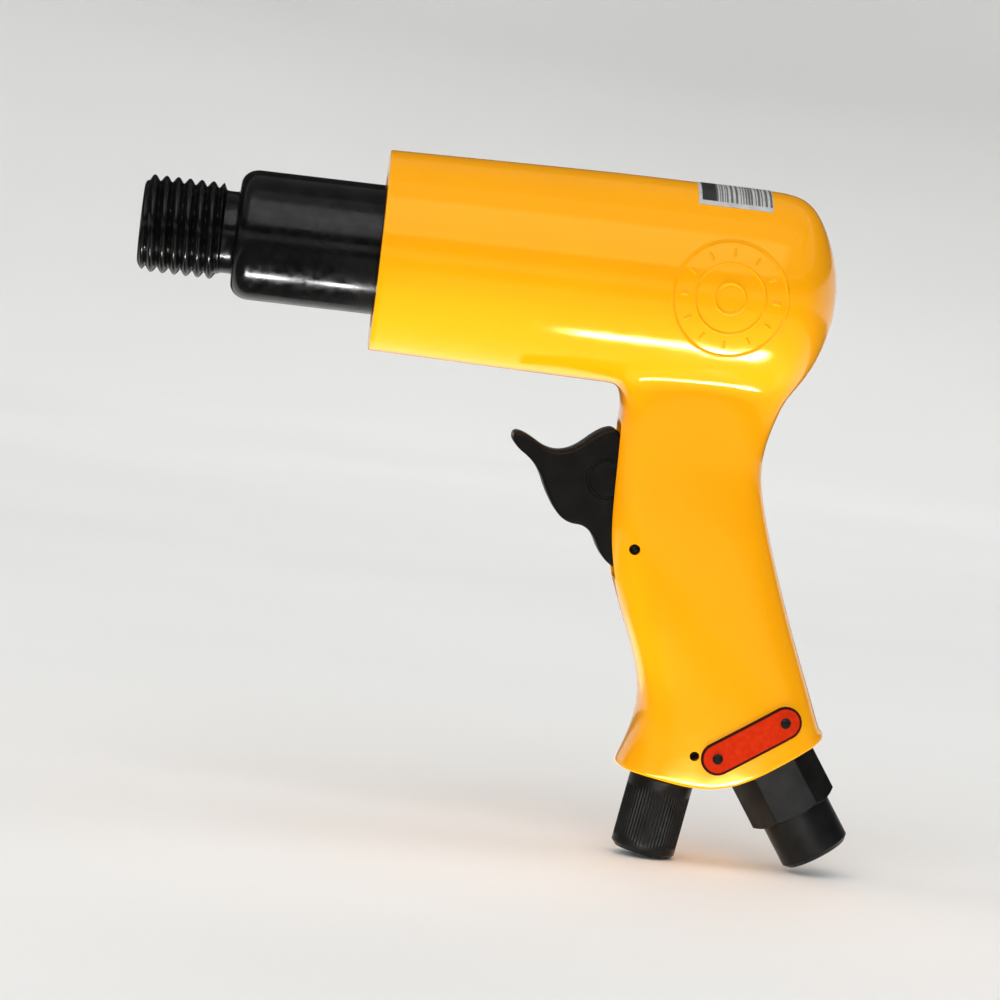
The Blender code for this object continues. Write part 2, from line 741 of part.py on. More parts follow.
def make_inlet():
    core = solid_lathe(
        "join_inlet_core",
        [
            (-INLET_SHANK, 7.0),
            (-INLET_SHANK + 1.0, 7.6),
            (1.0, 7.6),
            (1.0, INLET_RADIUS),
            (INLET_LENGTH - TIP_CHAMFER, INLET_RADIUS),
            (INLET_LENGTH, INLET_RADIUS - TIP_CHAMFER),
        ],
    )
    inlet = cylinder(
        "inlet_bushing", INLET_HEX_ACROSS / 2 / math.cos(math.radians(30)), GAP, INLET_HEX_LENGTH, 6)
    place(inlet, BLACK_STEEL, INLET_CENTRE, INLET_OUT, 30)
    combine(inlet, place_cutter(core, INLET_CENTRE, INLET_OUT), "UNION")
    bore = solid_lathe(
        "cut_inlet_bore",
        [(-INLET_SHANK - 2, 4.6), (8.5, 4.6), (8.5, 5.7), (INLET_LENGTH - 0.6, 5.7),
         (INLET_LENGTH, 6.2), (INLET_LENGTH + 1, 6.2)],
        steps=20,
    )
    combine(inlet, place_cutter(bore, INLET_CENTRE, INLET_OUT))
    screen = bored_lathe(
        "inlet_screen",
        [(0.0, 2.6), (8.0, 4.2), (9.0, 4.2)],
        [(0.0, 2.1), (8.0, 3.7), (9.0, 3.7)],
        steps=16,
    )
    place(screen, BRASS, INLET_CENTRE - INLET_OUT * 4, INLET_OUT)
    seal = bored_lathe(
        "inlet_seal_ring", [(0.0, 7.7), (0.7, 7.7)], [(0.0, 5.4), (0.7, 5.4)], steps=20)
    place(seal, RUBBER, INLET_CENTRE - INLET_OUT * (INLET_SHANK + 0.85), INLET_OUT)


def make_regulator():
    """A knob with a hollow stem whose side port meters the air. A tangent pin keeps it in."""
    stem = REGULATOR_STEM_RADIUS
    path = [
        (0.0, REGULATOR_STEM - 6.2),
        (3.2, REGULATOR_STEM - 6.2),
        (3.2, REGULATOR_STEM),
        (stem, REGULATOR_STEM),
        (stem, REGULATOR_PIN_DEPTH + 1.6),
        (2.9, REGULATOR_PIN_DEPTH + 1.6),
        (2.9, REGULATOR_PIN_DEPTH - 1.6),
        (stem, REGULATOR_PIN_DEPTH - 1.6),
        (stem, 4.3),
        (4.3, 4.3),
        (4.3, 2.4),
        (stem, 2.4),
        (stem, -GAP),
        (KNOB_RADIUS - 0.8, -GAP),
        (KNOB_RADIUS, -GAP - 0.8),
        (KNOB_RADIUS, -KNOB_LENGTH + TIP_CHAMFER),
        (KNOB_RADIUS - TIP_CHAMFER, -KNOB_LENGTH),
        (0.0, -KNOB_LENGTH),
    ]
    knob = lathe("regulator_knob", path, steps=20)
    place(knob, BLACK_STEEL, REGULATOR_CENTRE, -REGULATOR_OUT)
    port = cylinder("cut_regulator_port", 2.2, 0, 12, 8)
    at = REGULATOR_CENTRE - REGULATOR_OUT * REGULATOR_PORT_DEPTH
    combine(knob, place_cutter(port, at, ALONG_BARREL))
    slot = box("cut_knob_slot", (-1.0, -KNOB_RADIUS - 1, -KNOB_LENGTH - 1),
               (1.0, KNOB_RADIUS + 1, -KNOB_LENGTH + 1.4))
    combine(knob, place_cutter(slot, REGULATOR_CENTRE, -REGULATOR_OUT))
    ring = torus_ring("regulator_o_ring", 5.1, 0.7)
    place(ring, RUBBER, REGULATOR_CENTRE - REGULATOR_OUT * 3.35, REGULATOR_OUT)
    pin, cut = slotted_tube("regulator_pin", REGULATOR_PIN_RADIUS, 0.4, 28.0)
    place(pin, BLACK_STEEL, REGULATOR_PIN, ACROSS)
    combine(pin, place_cutter(cut, REGULATOR_PIN, ACROSS))


# Labels, which wrap on to the casting


def label_grid(name, half_length, half_height, round_ends, columns=14, rows=6):
    """A flat grid in the side plane, square or with round ends, to be wrapped on a surface."""
    bm = bmesh.new()
    grid = []
    for i in range(columns + 1):
        u = math.sin(math.pi * (i / columns - 0.5)) if round_ends else 2 * i / columns - 1
        x = u * half_length
        past = max(0.0, abs(x) - (half_length - half_height))
        tall = half_height
        if round_ends:
            tall = math.sqrt(max(half_height**2 - past**2, (0.35 * half_height) ** 2))
        grid.append([
            bm.verts.new((x * MM, 0, tall * (2 * j / rows - 1) * MM)) for j in range(rows + 1)])
    for i in range(columns):
        for j in range(rows):
            bm.faces.new((grid[i][j], grid[i + 1][j], grid[i + 1][j + 1], grid[i][j + 1]))
    return object_from(name, bm)


def wrap_label(label, casting, material, lift, thickness):
    place(label, material)
    wrap = label.modifiers.new("wrap", "SHRINKWRAP")
    wrap.target = casting
    wrap.wrap_method = "NEAREST_SURFACEPOINT"
    wrap.wrap_mode = "ABOVE_SURFACE"
    wrap.offset = lift * MM
    thick = label.modifiers.new("thickness", "SOLIDIFY")
    thick.thickness = thickness * MM
    thick.offset = 1


def surface_hit(casting_mesh, x, z):
    """Where a ray across the tool from its left side meets the casting, and the normal there."""
    hit, point, normal, _ = casting_mesh.ray_cast(
        Vector((x, -60, z)) * MM, Vector((0, 1, 0)), distance=0.06)
    if not hit:
        raise ValueError("the rivet misses the casting")
    return point / MM, normal


def make_rivets(casting, label):
    """Two drive rivets that hold the grip's label, each in its own hole in the casting."""
    along_label = Vector((math.cos(REAR_FACET), 0, math.sin(REAR_FACET)))
    bpy.context.view_layer.update()
    graph = bpy.context.evaluated_depsgraph_get()
    surface = casting.evaluated_get(graph)
    found = []
    for side in (-1, 1):
        at = LABEL_CENTRE + along_label * RIVET_REACH * side
        found.append(surface_hit(surface, at.x, at.z))
    for number, (point, normal) in enumerate(found, 1):
        name = f"label_rivet_{number}"
        rivet = solid_lathe(
            name, [(-3.2, 0.4), (-2.8, 0.6), (0.95, 0.6), (0.95, 1.25), (1.3, 1.1), (1.45, 0.6)],
            steps=12)
        place(rivet, BLACK_STEEL, point, normal)
        hole = place_cutter(cylinder("cut_" + name, 0.95, -3.6, 3, 12), point, normal)
        combine(label, hole)
        combine(casting, hole)


def make_labels(casting):
    grip_label = label_grid("grip_label", LABEL_HALF_LENGTH, LABEL_HALF_HEIGHT, round_ends=True)
    wrap_label(grip_label, casting, RED_LABEL, 0.32, 0.35)
    grip_label.location = (LABEL_CENTRE + Vector((0, -18, 0))) * MM
    grip_label.rotation_euler = (0, -REAR_FACET, 0)
    make_rivets(casting, grip_label)

    top_label = label_grid(
        "serial_label", SERIAL_HALF_LENGTH, SERIAL_HALF_HEIGHT, round_ends=False, columns=4, rows=6)
    wrap_label(top_label, casting, FOIL_LABEL, 0.15, 0.2)
    reach = REAR_RADIUS + 2
    out = Vector((0, -math.sin(SERIAL_LABEL_LEAN), math.cos(SERIAL_LABEL_LEAN)))
    top_label.location = (Vector((SERIAL_LABEL_X, 0, 0)) + out * reach) * MM
    top_label.rotation_euler = (SERIAL_LABEL_LEAN - math.radians(90), 0, 0)


casting_object = make_casting()
make_barrel()
make_piston()
make_valve()
make_trigger()
make_throttle()
make_inlet()
make_regulator()
make_labels(casting_object)
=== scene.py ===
"""Looks of the pneumatic air hammer: fine surfaces, materials, studio and camera.

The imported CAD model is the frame. Sizes below are in millimetres in the tool frame, which is the
CAD's: its origin is the centre of the muzzle face, its +X runs back along the barrel's axis, and
its +Z is up. place() turns them into metres in the row's frame.
"""

import json
import math

import bmesh
import bpy
from mathutils import Matrix, Vector


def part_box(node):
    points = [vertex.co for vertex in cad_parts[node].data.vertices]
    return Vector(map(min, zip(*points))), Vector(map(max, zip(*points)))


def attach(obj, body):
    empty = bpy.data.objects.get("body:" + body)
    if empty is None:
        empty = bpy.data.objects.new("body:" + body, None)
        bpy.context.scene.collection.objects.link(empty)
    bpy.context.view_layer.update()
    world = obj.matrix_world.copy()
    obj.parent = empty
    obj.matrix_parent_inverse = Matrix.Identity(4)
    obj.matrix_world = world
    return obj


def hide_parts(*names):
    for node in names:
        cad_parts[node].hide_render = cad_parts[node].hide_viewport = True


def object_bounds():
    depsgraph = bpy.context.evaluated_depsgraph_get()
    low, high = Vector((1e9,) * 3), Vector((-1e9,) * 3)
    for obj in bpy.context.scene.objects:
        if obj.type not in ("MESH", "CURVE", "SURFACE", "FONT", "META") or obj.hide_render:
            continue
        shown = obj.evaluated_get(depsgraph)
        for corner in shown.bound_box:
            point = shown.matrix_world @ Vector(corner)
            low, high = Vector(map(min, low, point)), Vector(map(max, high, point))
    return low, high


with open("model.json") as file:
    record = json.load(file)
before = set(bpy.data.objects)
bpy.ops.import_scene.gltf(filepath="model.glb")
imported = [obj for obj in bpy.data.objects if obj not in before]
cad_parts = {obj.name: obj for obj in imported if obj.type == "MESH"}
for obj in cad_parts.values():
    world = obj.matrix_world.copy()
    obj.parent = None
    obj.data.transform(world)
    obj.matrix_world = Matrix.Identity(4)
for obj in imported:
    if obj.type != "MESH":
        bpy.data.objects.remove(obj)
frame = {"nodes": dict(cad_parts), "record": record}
CAD_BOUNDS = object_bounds()

MM = 0.001
TAU = 2 * math.pi
BARREL_LOW, BARREL_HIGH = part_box("barrel")
MUZZLE = Vector((BARREL_LOW.x, 0, (BARREL_LOW.z + BARREL_HIGH.z) / 2))
ALONG_BARREL = Vector((1, 0, 0))
ACROSS = Vector((0, 1, 0))
FINE = 3
STEPS = 96

# Barrel
NOSE_LENGTH = 19.6
THREAD_PITCH = 2.8
THREAD_CREST = 11.6
THREAD_ROOT = 10.2
NECK_RADIUS = 9.8
NECK_END = 22.6
SHOULDER_START_RADIUS = 11.8
SHOULDER_LENGTH = 4.4
BARREL_RADIUS = 15.5
BARREL_END = 128.0
SHANK_RADIUS = 5.25
SHANK_DEPTH = 40.0
PISTON_BORE = 9.55
FLANGE_START = 106.0
FLANGE_RADIUS = 16.4
EXHAUST_PORT_X = 84.0

# Casting
CASTING_START = 57.0
FRONT_RADIUS = 24.0
REAR_RADIUS = 25.0
MOUTH_RADIUS = 18.5
MOUTH_DEPTH = 39.0
EDGE = 0.9
GRIP_SQUARENESS = 4.0
BASE_RIDGE_X = CASTING_START + 95.9
BASE_RIDGE_Z = -119.6
FRONT_FACET = math.radians(8.7)
REAR_FACET = math.radians(34.0)
MARK_X = CASTING_START + 82.6
MARK_Z = -1.3

# Trigger and throttle
PIVOT_X = CASTING_START + 68.3
PIVOT_Z = -63.3
PIVOT_PIN_RADIUS = 1.15
TRIGGER_WIDTH = 13.0
SLOT_HALF = 7.1
THROTTLE_Z = -46.0
SEAT_X = CASTING_START + 77.0
CHAMBER_END_X = CASTING_START + 94.0

# Fittings
INLET_OUT = Vector((math.sin(REAR_FACET), 0, -math.cos(REAR_FACET)))
REGULATOR_OUT = Vector((-math.sin(FRONT_FACET), 0, -math.cos(FRONT_FACET)))
REGULATOR_REARWARD = Vector((math.cos(FRONT_FACET), 0, -math.sin(FRONT_FACET)))
INLET_OFFSET = 14.5
INLET_HEX_ACROSS = 19.0
INLET_HEX_LENGTH = 13.5
INLET_LENGTH = 25.2
INLET_RADIUS = 8.6
INLET_SHANK = 14.0
REGULATOR_OFFSET = 13.2
KNOB_RADIUS = 7.8
KNOB_LENGTH = 19.3
TIP_CHAMFER = 1.1
REGULATOR_STEM = 17.0
REGULATOR_STEM_RADIUS = 5.6
REGULATOR_PIN_RADIUS = 1.0
REGULATOR_PIN_DEPTH = 7.8
REGULATOR_PORT_DEPTH = 13.4

# Labels
LABEL_CENTRE = Vector((CASTING_START + 101.3, 0, -105.4))
LABEL_HALF_LENGTH = 13.1
LABEL_HALF_HEIGHT = 4.0
RIVET_REACH = LABEL_HALF_LENGTH - LABEL_HALF_HEIGHT
SERIAL_LABEL_X = CASTING_START + 82.3
SERIAL_LABEL_LEAN = math.radians(17.5)
SERIAL_HALF_LENGTH = 8.9
SERIAL_HALF_HEIGHT = 8.6

GAP = 0.3
BODY_RING = 24
GRIP_RING = 16


def facet_z(x):
    """Height of the grip's base, two planes that meet on the ridge."""
    if x < BASE_RIDGE_X:
        return BASE_RIDGE_Z + (BASE_RIDGE_X - x) * math.tan(FRONT_FACET)
    return BASE_RIDGE_Z + (x - BASE_RIDGE_X) * math.tan(REAR_FACET)


INLET_CENTRE_X = BASE_RIDGE_X + INLET_OFFSET * math.cos(REAR_FACET)
INLET_CENTRE = Vector((INLET_CENTRE_X, 0, facet_z(INLET_CENTRE_X)))
REGULATOR_X = BASE_RIDGE_X - REGULATOR_OFFSET
REGULATOR_CENTRE = Vector((REGULATOR_X, 0, facet_z(REGULATOR_X)))
REGULATOR_PIN = REGULATOR_CENTRE - REGULATOR_OUT * REGULATOR_PIN_DEPTH + REGULATOR_REARWARD * 4.4


# Mesh helpers


def place(point):
    """A point of the tool frame, in millimetres, as metres in the row's frame."""
    return MUZZLE + Vector(point) * MM


def frame_along(at, along):
    """The matrix from a piece's own millimetres, with its Z along a direction, to the row's frame."""
    turn = Vector(along).to_track_quat("Z", "Y").to_matrix().to_4x4()
    return Matrix.Translation(place(at)) @ turn @ Matrix.Scale(MM, 4)


TOOL_MATRIX = Matrix.Translation(MUZZLE) @ Matrix.Scale(MM, 4)


def new_object(name, bm, matrix=TOOL_MATRIX, smooth_angle=35):
    """Makes a linked object from a bmesh in its own millimetres, with its normals facing out."""
    bmesh.ops.transform(bm, matrix=matrix, verts=bm.verts)
    bmesh.ops.recalc_face_normals(bm, faces=bm.faces)
    mesh = bpy.data.meshes.new(name)
    bm.to_mesh(mesh)
    bm.free()
    mesh.shade_smooth()
    mesh.set_sharp_from_angle(angle=math.radians(smooth_angle))
    obj = bpy.data.objects.new(name, mesh)
    bpy.context.scene.collection.objects.link(obj)
    return obj


def finish_piece(obj, body, material, replaced=()):
    obj.data.materials.clear()
    obj.data.materials.append(material)
    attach(obj, body)
    if replaced:
        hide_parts(*replaced)
    return obj


def bake_modifiers(obj, smooth_angle=35):
    """Replaces the mesh with what the modifiers make of it, so that later steps can read it."""
    bpy.context.view_layer.update()
    graph = bpy.context.evaluated_depsgraph_get()
    mesh = bpy.data.meshes.new_from_object(obj.evaluated_get(graph))
    obj.modifiers.clear()
    obj.data = mesh
    mesh.shade_smooth()
    mesh.set_sharp_from_angle(angle=math.radians(smooth_angle))


def combine(obj, others, operation="DIFFERENCE"):
    """Cuts or joins other objects, one after another, and removes them."""
    for other in others:
        modifier = obj.modifiers.new("combine", "BOOLEAN")
        modifier.operation = operation
        modifier.object = other
        modifier.solver = "EXACT"
    bake_modifiers(obj)
    for other in others:
        bpy.data.objects.remove(other, do_unlink=True)


def skin(bm, rings, cap_start=True, cap_end=True, loop_back=False):
    """Quads between rings of bmesh vertices, with caps or back to the first ring."""
    pairs = list(zip(rings, rings[1:]))
    if loop_back:
        pairs.append((rings[-1], rings[0]))
    for first, second in pairs:
        count = max(len(first), len(second))
        for k in range(count):
            m = (k + 1) % count
            corners = [
                first[k % len(first)], first[m % len(first)],
                second[m % len(second)], second[k % len(second)],
            ]
            unique = list(dict.fromkeys(corners))
            bm.faces.new(unique)
    if cap_start and not loop_back and len(rings[0]) > 2:
        bm.faces.new(rings[0])
    if cap_end and not loop_back and len(rings[-1]) > 2:
        bm.faces.new(rings[-1])


def turned(path, steps=STEPS, closed=False, radius_at=None):
    """A bmesh turned about local Z from (height, radius) points.

    radius_at(height, radius, angle), where given, shapes each point further.
    """
    bm = bmesh.new()
    rings = []
    for height, radius in path:
        if radius < 1e-6:
            rings.append([bm.verts.new((0, 0, height))])
            continue
        ring = []
        for k in range(steps):
            angle = TAU * k / steps
            r = radius_at(height, radius, angle) if radius_at else radius
            ring.append(bm.verts.new((r * math.cos(angle), r * math.sin(angle), height)))
        rings.append(ring)
    skin(bm, rings, loop_back=closed)
    return bm


def eased(points, radius, arc=4, closed=False):
    """Rounds the corners of a path of 2D points, by at most radius."""
    result = []
    count = len(points)
    for i, point in enumerate(points):
        here = Vector(point)
        if not closed and i in (0, count - 1):
            result.append(tuple(here))
            continue
        before, after = Vector(points[i - 1]), Vector(points[(i + 1) % count])
        back, on = before - here, after - here
        if back.length < 1e-6 or on.length < 1e-6 or back.angle(on) > math.radians(168):
            result.append(tuple(here))
            continue
        reach = radius / math.tan(back.angle(on) / 2)
        reach = min(reach, 0.45 * back.length, 0.45 * on.length)
        start, end = here + back.normalized() * reach, here + on.normalized() * reach
        for k in range(arc + 1):
            t = k / arc
            result.append(tuple((1 - t) ** 2 * start + 2 * t * (1 - t) * here + t * t * end))
    return result


def smooth_outline(corners, per_corner):
    """Rounds a coarse polygon into a closed quadratic B-spline."""
    points = []
    count = len(corners)
    for i in range(count):
        before, here, after = (Vector(corners[(i + k) % count]) for k in (-1, 0, 1))
        start, end = (before + here) / 2, (here + after) / 2
        for k in range(per_corner):
            t = k / per_corner
            points.append(tuple((1 - t) ** 2 * start + 2 * t * (1 - t) * here + t * t * end))
    return points


def plate(name, outline, width, edge_radius):
    """An outline of (x, z) points across the tool, with round edges, as a mesh object."""
    curve = bpy.data.curves.new(name, "CURVE")
    curve.dimensions = "2D"
    curve.fill_mode = "BOTH"
    curve.extrude = (width / 2 - edge_radius) * MM
    curve.bevel_depth = edge_radius * MM
    curve.bevel_resolution = 3
    curve.offset = -edge_radius * MM
    spline = curve.splines.new("POLY")
    spline.points.add(len(outline) - 1)
    for point, (x, z) in zip(spline.points, outline, strict=True):
        point.co = (x * MM, z * MM, 0, 1)
    spline.use_cyclic_u = True
    flat = bpy.data.objects.new(name, curve)
    bpy.context.scene.collection.objects.link(flat)
    bpy.context.view_layer.update()
    mesh = bpy.data.meshes.new_from_object(flat.evaluated_get(bpy.context.evaluated_depsgraph_get()))
    bpy.data.objects.remove(flat, do_unlink=True)
    bm = bmesh.new()
    bm.from_mesh(mesh)
    bmesh.ops.remove_doubles(bm, verts=bm.verts, dist=0.00001)
    turn = Matrix.Translation(MUZZLE) @ Matrix.Rotation(math.radians(90), 4, "X")
    return new_object(name, bm, turn)


def box_cutter(low, high):
    bm = bmesh.new()
    low, high = Vector(low), Vector(high)
    bmesh.ops.create_cube(bm, size=1)
    bmesh.ops.scale(bm, vec=high - low, verts=bm.verts)
    bmesh.ops.translate(bm, vec=(low + high) / 2, verts=bm.verts)
    return new_object("cutter", bm)


def tube_cutter(start, end, radius, steps=32):
    start, end = Vector(start), Vector(end)
    length = (end - start).length
    path = [(0, 0), (0, radius), (length, radius), (length, 0)]
    return new_object("cutter", turned(path, steps), frame_along(start, end - start))


# Material helpers


def shader(name, color, roughness, metallic=0.0, **inputs):
    material = bpy.data.materials.new(name)
    material.use_nodes = True
    node = material.node_tree.nodes["Principled BSDF"]
    node.inputs["Base Color"].default_value = (*color, 1)
    node.inputs["Roughness"].default_value = roughness
    node.inputs["Metallic"].default_value = metallic
    for key, value in inputs.items():
        node.inputs[key.replace("_", " ")].default_value = value
    return material


def add(material, kind, **settings):
    node = material.node_tree.nodes.new(kind)
    for key, value in settings.items():
        if key in node.inputs:
            node.inputs[key].default_value = value
        else:
            setattr(node, key, value)
    return node


def link(material, source, target):
    material.node_tree.links.new(source, target)


def noise(material, scale, detail=3.0, stretch=(1, 1, 1), roughness=0.5):
    """Noise in the object's own metres; scale is in features to a metre."""
    coordinates = add(material, "ShaderNodeTexCoord")
    mapping = add(material, "ShaderNodeMapping", Scale=stretch)
    texture = add(material, "ShaderNodeTexNoise", Scale=scale, Detail=detail, Roughness=roughness)
    link(material, coordinates.outputs["Object"], mapping.inputs["Vector"])
    link(material, mapping.outputs["Vector"], texture.inputs["Vector"])
    return texture.outputs["Fac"]


def ramp(material, source, stops):
    """A colour ramp from (position, colour) stops."""
    node = add(material, "ShaderNodeValToRGB")
    elements = node.color_ramp.elements
    while len(elements) < len(stops):
        elements.new(0.5)
    for element, (position, color) in zip(elements, stops, strict=True):
        element.position = position
        element.color = (*color, 1) if len(color) == 3 else color
    link(material, source, node.inputs["Fac"])
    return node.outputs["Color"]


def value_range(material, source, low, high, new_low, new_high):
    node = add(material, "ShaderNodeMapRange")
    for key, value in (("From Min", low), ("From Max", high), ("To Min", new_low), ("To Max", new_high)):
        node.inputs[key].default_value = value
    link(material, source, node.inputs["Value"])
    return node.outputs["Result"]


def mix_color(material, factor, first, second):
    node = add(material, "ShaderNodeMix", data_type="RGBA")
    link(material, factor, node.inputs["Factor"])
    for socket, value in ((node.inputs[6], first), (node.inputs[7], second)):
        if isinstance(value, tuple):
            socket.default_value = (*value, 1)
        else:
            link(material, value, socket)
    return node.outputs[2]


def drive(material, source, socket):
    link(material, source, material.node_tree.nodes["Principled BSDF"].inputs[socket])


def bump(material, heights):
    """Chains bumps from (height source, depth in millimetres) pairs, coarse to fine."""
    normal = None
    for source, depth in heights:
        node = add(material, "ShaderNodeBump", Strength=1.0, Distance=depth * MM)
        link(material, source, node.inputs["Height"])
        if normal:
            link(material, normal, node.inputs["Normal"])
        normal = node.outputs["Normal"]
    drive(material, normal, "Normal")


def mottle(material, texture, low, high, stops=(0.3, 0.7)):
    """Lets the base colour wander between two tones."""
    drive(material, ramp(material, texture, [(stops[0], low), (stops[1], high)]), "Base Color")


def vary_roughness(material, texture, low, high, stops=(0.3, 0.7)):
    drive(material, value_range(material, texture, *stops, low, high), "Roughness")


# Materials


def yellow_paint():
    material = shader(
        "yellow_paint", (0.93, 0.375, 0.003), 0.13, Coat_Weight=0.03, Coat_Roughness=0.05,
        Specular_IOR_Level=0.5, Specular_Tint=(1.0, 0.82, 0.25, 1.0))
    mottle(material, noise(material, 35, 2), (0.91, 0.365, 0.003), (0.95, 0.385, 0.003))
    vary_roughness(material, noise(material, 260, 4), 0.10, 0.16)
    bump(material, [(noise(material, 140, 2), 0.02), (noise(material, 900, 2), 0.003)])
    return material


def black_steel(name, lines, roughness=0.3):
    """Black oxide on turned or milled steel. lines stretches the tool marks along one axis."""
    material = shader(name, (0.02, 0.02, 0.018), roughness, 0.75, Specular_IOR_Level=0.5)
    mottle(material, noise(material, 220, 5), (0.008, 0.008, 0.008), (0.018, 0.018, 0.018), (0.3, 0.75))
    vary_roughness(material, noise(material, 500, 4), roughness - 0.07, roughness + 0.12, (0.3, 0.75))
    bump(material, [(noise(material, 60, 2, lines), 0.012), (noise(material, 2500, 2), 0.003)])
    return material


def bright_steel():
    material = shader("bright_steel", (0.55, 0.54, 0.52), 0.3, 1.0)
    mottle(material, noise(material, 300, 4), (0.42, 0.41, 0.40), (0.62, 0.61, 0.59))
    vary_roughness(material, noise(material, 800, 3), 0.22, 0.42)
    bump(material, [(noise(material, 3000, 2), 0.003)])
    return material


def black_trigger():
    material = shader("black_trigger", (0.005, 0.005, 0.0045), 0.45, 0.0, Specular_IOR_Level=0.15)
    mottle(material, noise(material, 180, 4), (0.003, 0.003, 0.003), (0.007, 0.0065, 0.006))
    vary_roughness(material, noise(material, 600, 3), 0.30, 0.42)
    bump(material, [(noise(material, 1500, 3), 0.02)])
    return material


def brass():
    material = shader("brass", (0.72, 0.50, 0.20), 0.3, 1.0)
    mottle(material, noise(material, 250, 4), (0.55, 0.36, 0.13), (0.76, 0.54, 0.24))
    bump(material, [(noise(material, 2200, 2), 0.004)])
    return material


def black_rubber():
    material = shader("black_rubber", (0.02, 0.02, 0.02), 0.65)
    vary_roughness(material, noise(material, 900, 3), 0.55, 0.8)
    bump(material, [(noise(material, 1800, 3), 0.01)])
    return material


def label_distance(material):
    """The label's own map: its inset from the edge in U, in millimetres over 10."""
    node = add(material, "ShaderNodeUVMap", uv_map="label")
    split = add(material, "ShaderNodeSeparateXYZ")
    link(material, node.outputs["UV"], split.inputs["Vector"])
    return split


def red_label():
    """A red plate with a fine dark border line just inside its edge."""
    material = shader("red_label", (0.56, 0.024, 0.003), 0.26, Specular_IOR_Level=0.06)
    inset = label_distance(material).outputs["X"]
    tone = ramp(material, noise(material, 900, 4), [(0.3, (0.52, 0.019, 0.002)), (0.7, (0.60, 0.030, 0.004))])
    border = ramp(material, inset, [
        (0.0, (1, 1, 1)), (0.055, (1, 1, 1)), (0.075, (0, 0, 0)), (1.0, (0, 0, 0))])
    drive(material, mix_color(material, border, tone, (0.03, 0.006, 0.004)), "Base Color")
    bump(material, [(noise(material, 1400, 3), 0.008)])
    return material


def window(material, source, low, high):
    """White between two values and black outside them."""
    white, black, edge = (1, 1, 1), (0, 0, 0), 0.005
    return ramp(material, source, [
        (0.0, black), (low, black), (low + edge, white), (high, white), (high + edge, black), (1.0, black)])


def product(material, first, second):
    node = add(material, "ShaderNodeMath", operation="MULTIPLY")
    link(material, first, node.inputs[0])
    link(material, second, node.inputs[1])
    return node.outputs[0]


def foil_label():
    """A plain silver sticker with fine dark bars of no meaning and a dark block at one end."""
    material = shader("foil_label", (0.6, 0.6, 0.6), 0.35, 0.25)
    split = label_distance(material)
    bars = add(material, "ShaderNodeTexNoise", noise_dimensions="1D", Scale=17.0, Detail=0.0)
    link(material, split.outputs["X"], bars.inputs["W"])
    inked = ramp(material, bars.outputs["Fac"], [
        (0.0, (0, 0, 0)), (0.5, (0, 0, 0)), (0.51, (0.8, 0.8, 0.8)), (1.0, (0.8, 0.8, 0.8))])
    block = mix_color(material, window(material, split.outputs["X"], 0.08, 0.42), inked, (1.0, 1.0, 1.0))
    margin = ramp(material, split.outputs["X"], [(0.0, (0, 0, 0)), (0.08, (0, 0, 0)), (0.085, (1, 1, 1))])
    inside = product(material, margin, window(material, split.outputs["Y"], 0.10, 0.86))
    tone = ramp(material, noise(material, 400, 4), [(0.3, (0.50, 0.50, 0.50)), (0.7, (0.66, 0.66, 0.65))])
    ink = product(material, block, inside)
    drive(material, mix_color(material, ink, tone, (0.03, 0.03, 0.03)), "Base Color")
    bump(material, [(noise(material, 700, 3), 0.01)])
    return material


PAINT = yellow_paint()
BARREL_STEEL = black_steel("black_oxide_barrel", (60, 1, 1), 0.17)
FITTING_STEEL = black_steel("black_oxide_fitting", (1, 1, 1), 0.36)
BRIGHT_STEEL = bright_steel()
TRIGGER_BLACK = black_trigger()
BRASS = brass()
RUBBER = black_rubber()
RED_LABEL = red_label()
FOIL_LABEL = foil_label()


# Casting

BODY_STATIONS = (
    # x from the casting's front face, radius; the grip leaves between the 7th and the 11th
    (0.0, FRONT_RADIUS),
    (EDGE, FRONT_RADIUS),
    (12.0, 24.2),
    (27.0, 24.5),
    (43.0, 24.8),
    (56.4, REAR_RADIUS),
    (60.0, REAR_RADIUS),
    (69.0, REAR_RADIUS),
    (80.0, REAR_RADIUS),
    (91.0, REAR_RADIUS),
    (100.4, 24.7),
    (105.3, 18.4),
    (108.5, 10.6),
    (109.9, 4.0),
)
MOUTH_STATIONS = (
    (MOUTH_DEPTH, MOUTH_RADIUS - EDGE),
    (MOUTH_DEPTH, MOUTH_RADIUS),
    (MOUTH_DEPTH - EDGE, MOUTH_RADIUS),
    (EDGE, MOUTH_RADIUS),
    (0.0, MOUTH_RADIUS),
    (0.0, MOUTH_RADIUS + EDGE),
    (0.0, FRONT_RADIUS - EDGE),
)
GRIP_FIRST = len(MOUTH_STATIONS) + 6
GRIP_LAST = len(MOUTH_STATIONS) + 10
UNDER = (BODY_RING - 2, BODY_RING - 1, 0, 1)

NECK_FRONT, NECK_BACK, NECK_HALF_WIDTH = 61.9, 99.0, 12.9
NECK_FRONT_Z, NECK_SIDE_Z, NECK_BACK_Z = -27.3, -25.6, -29.5

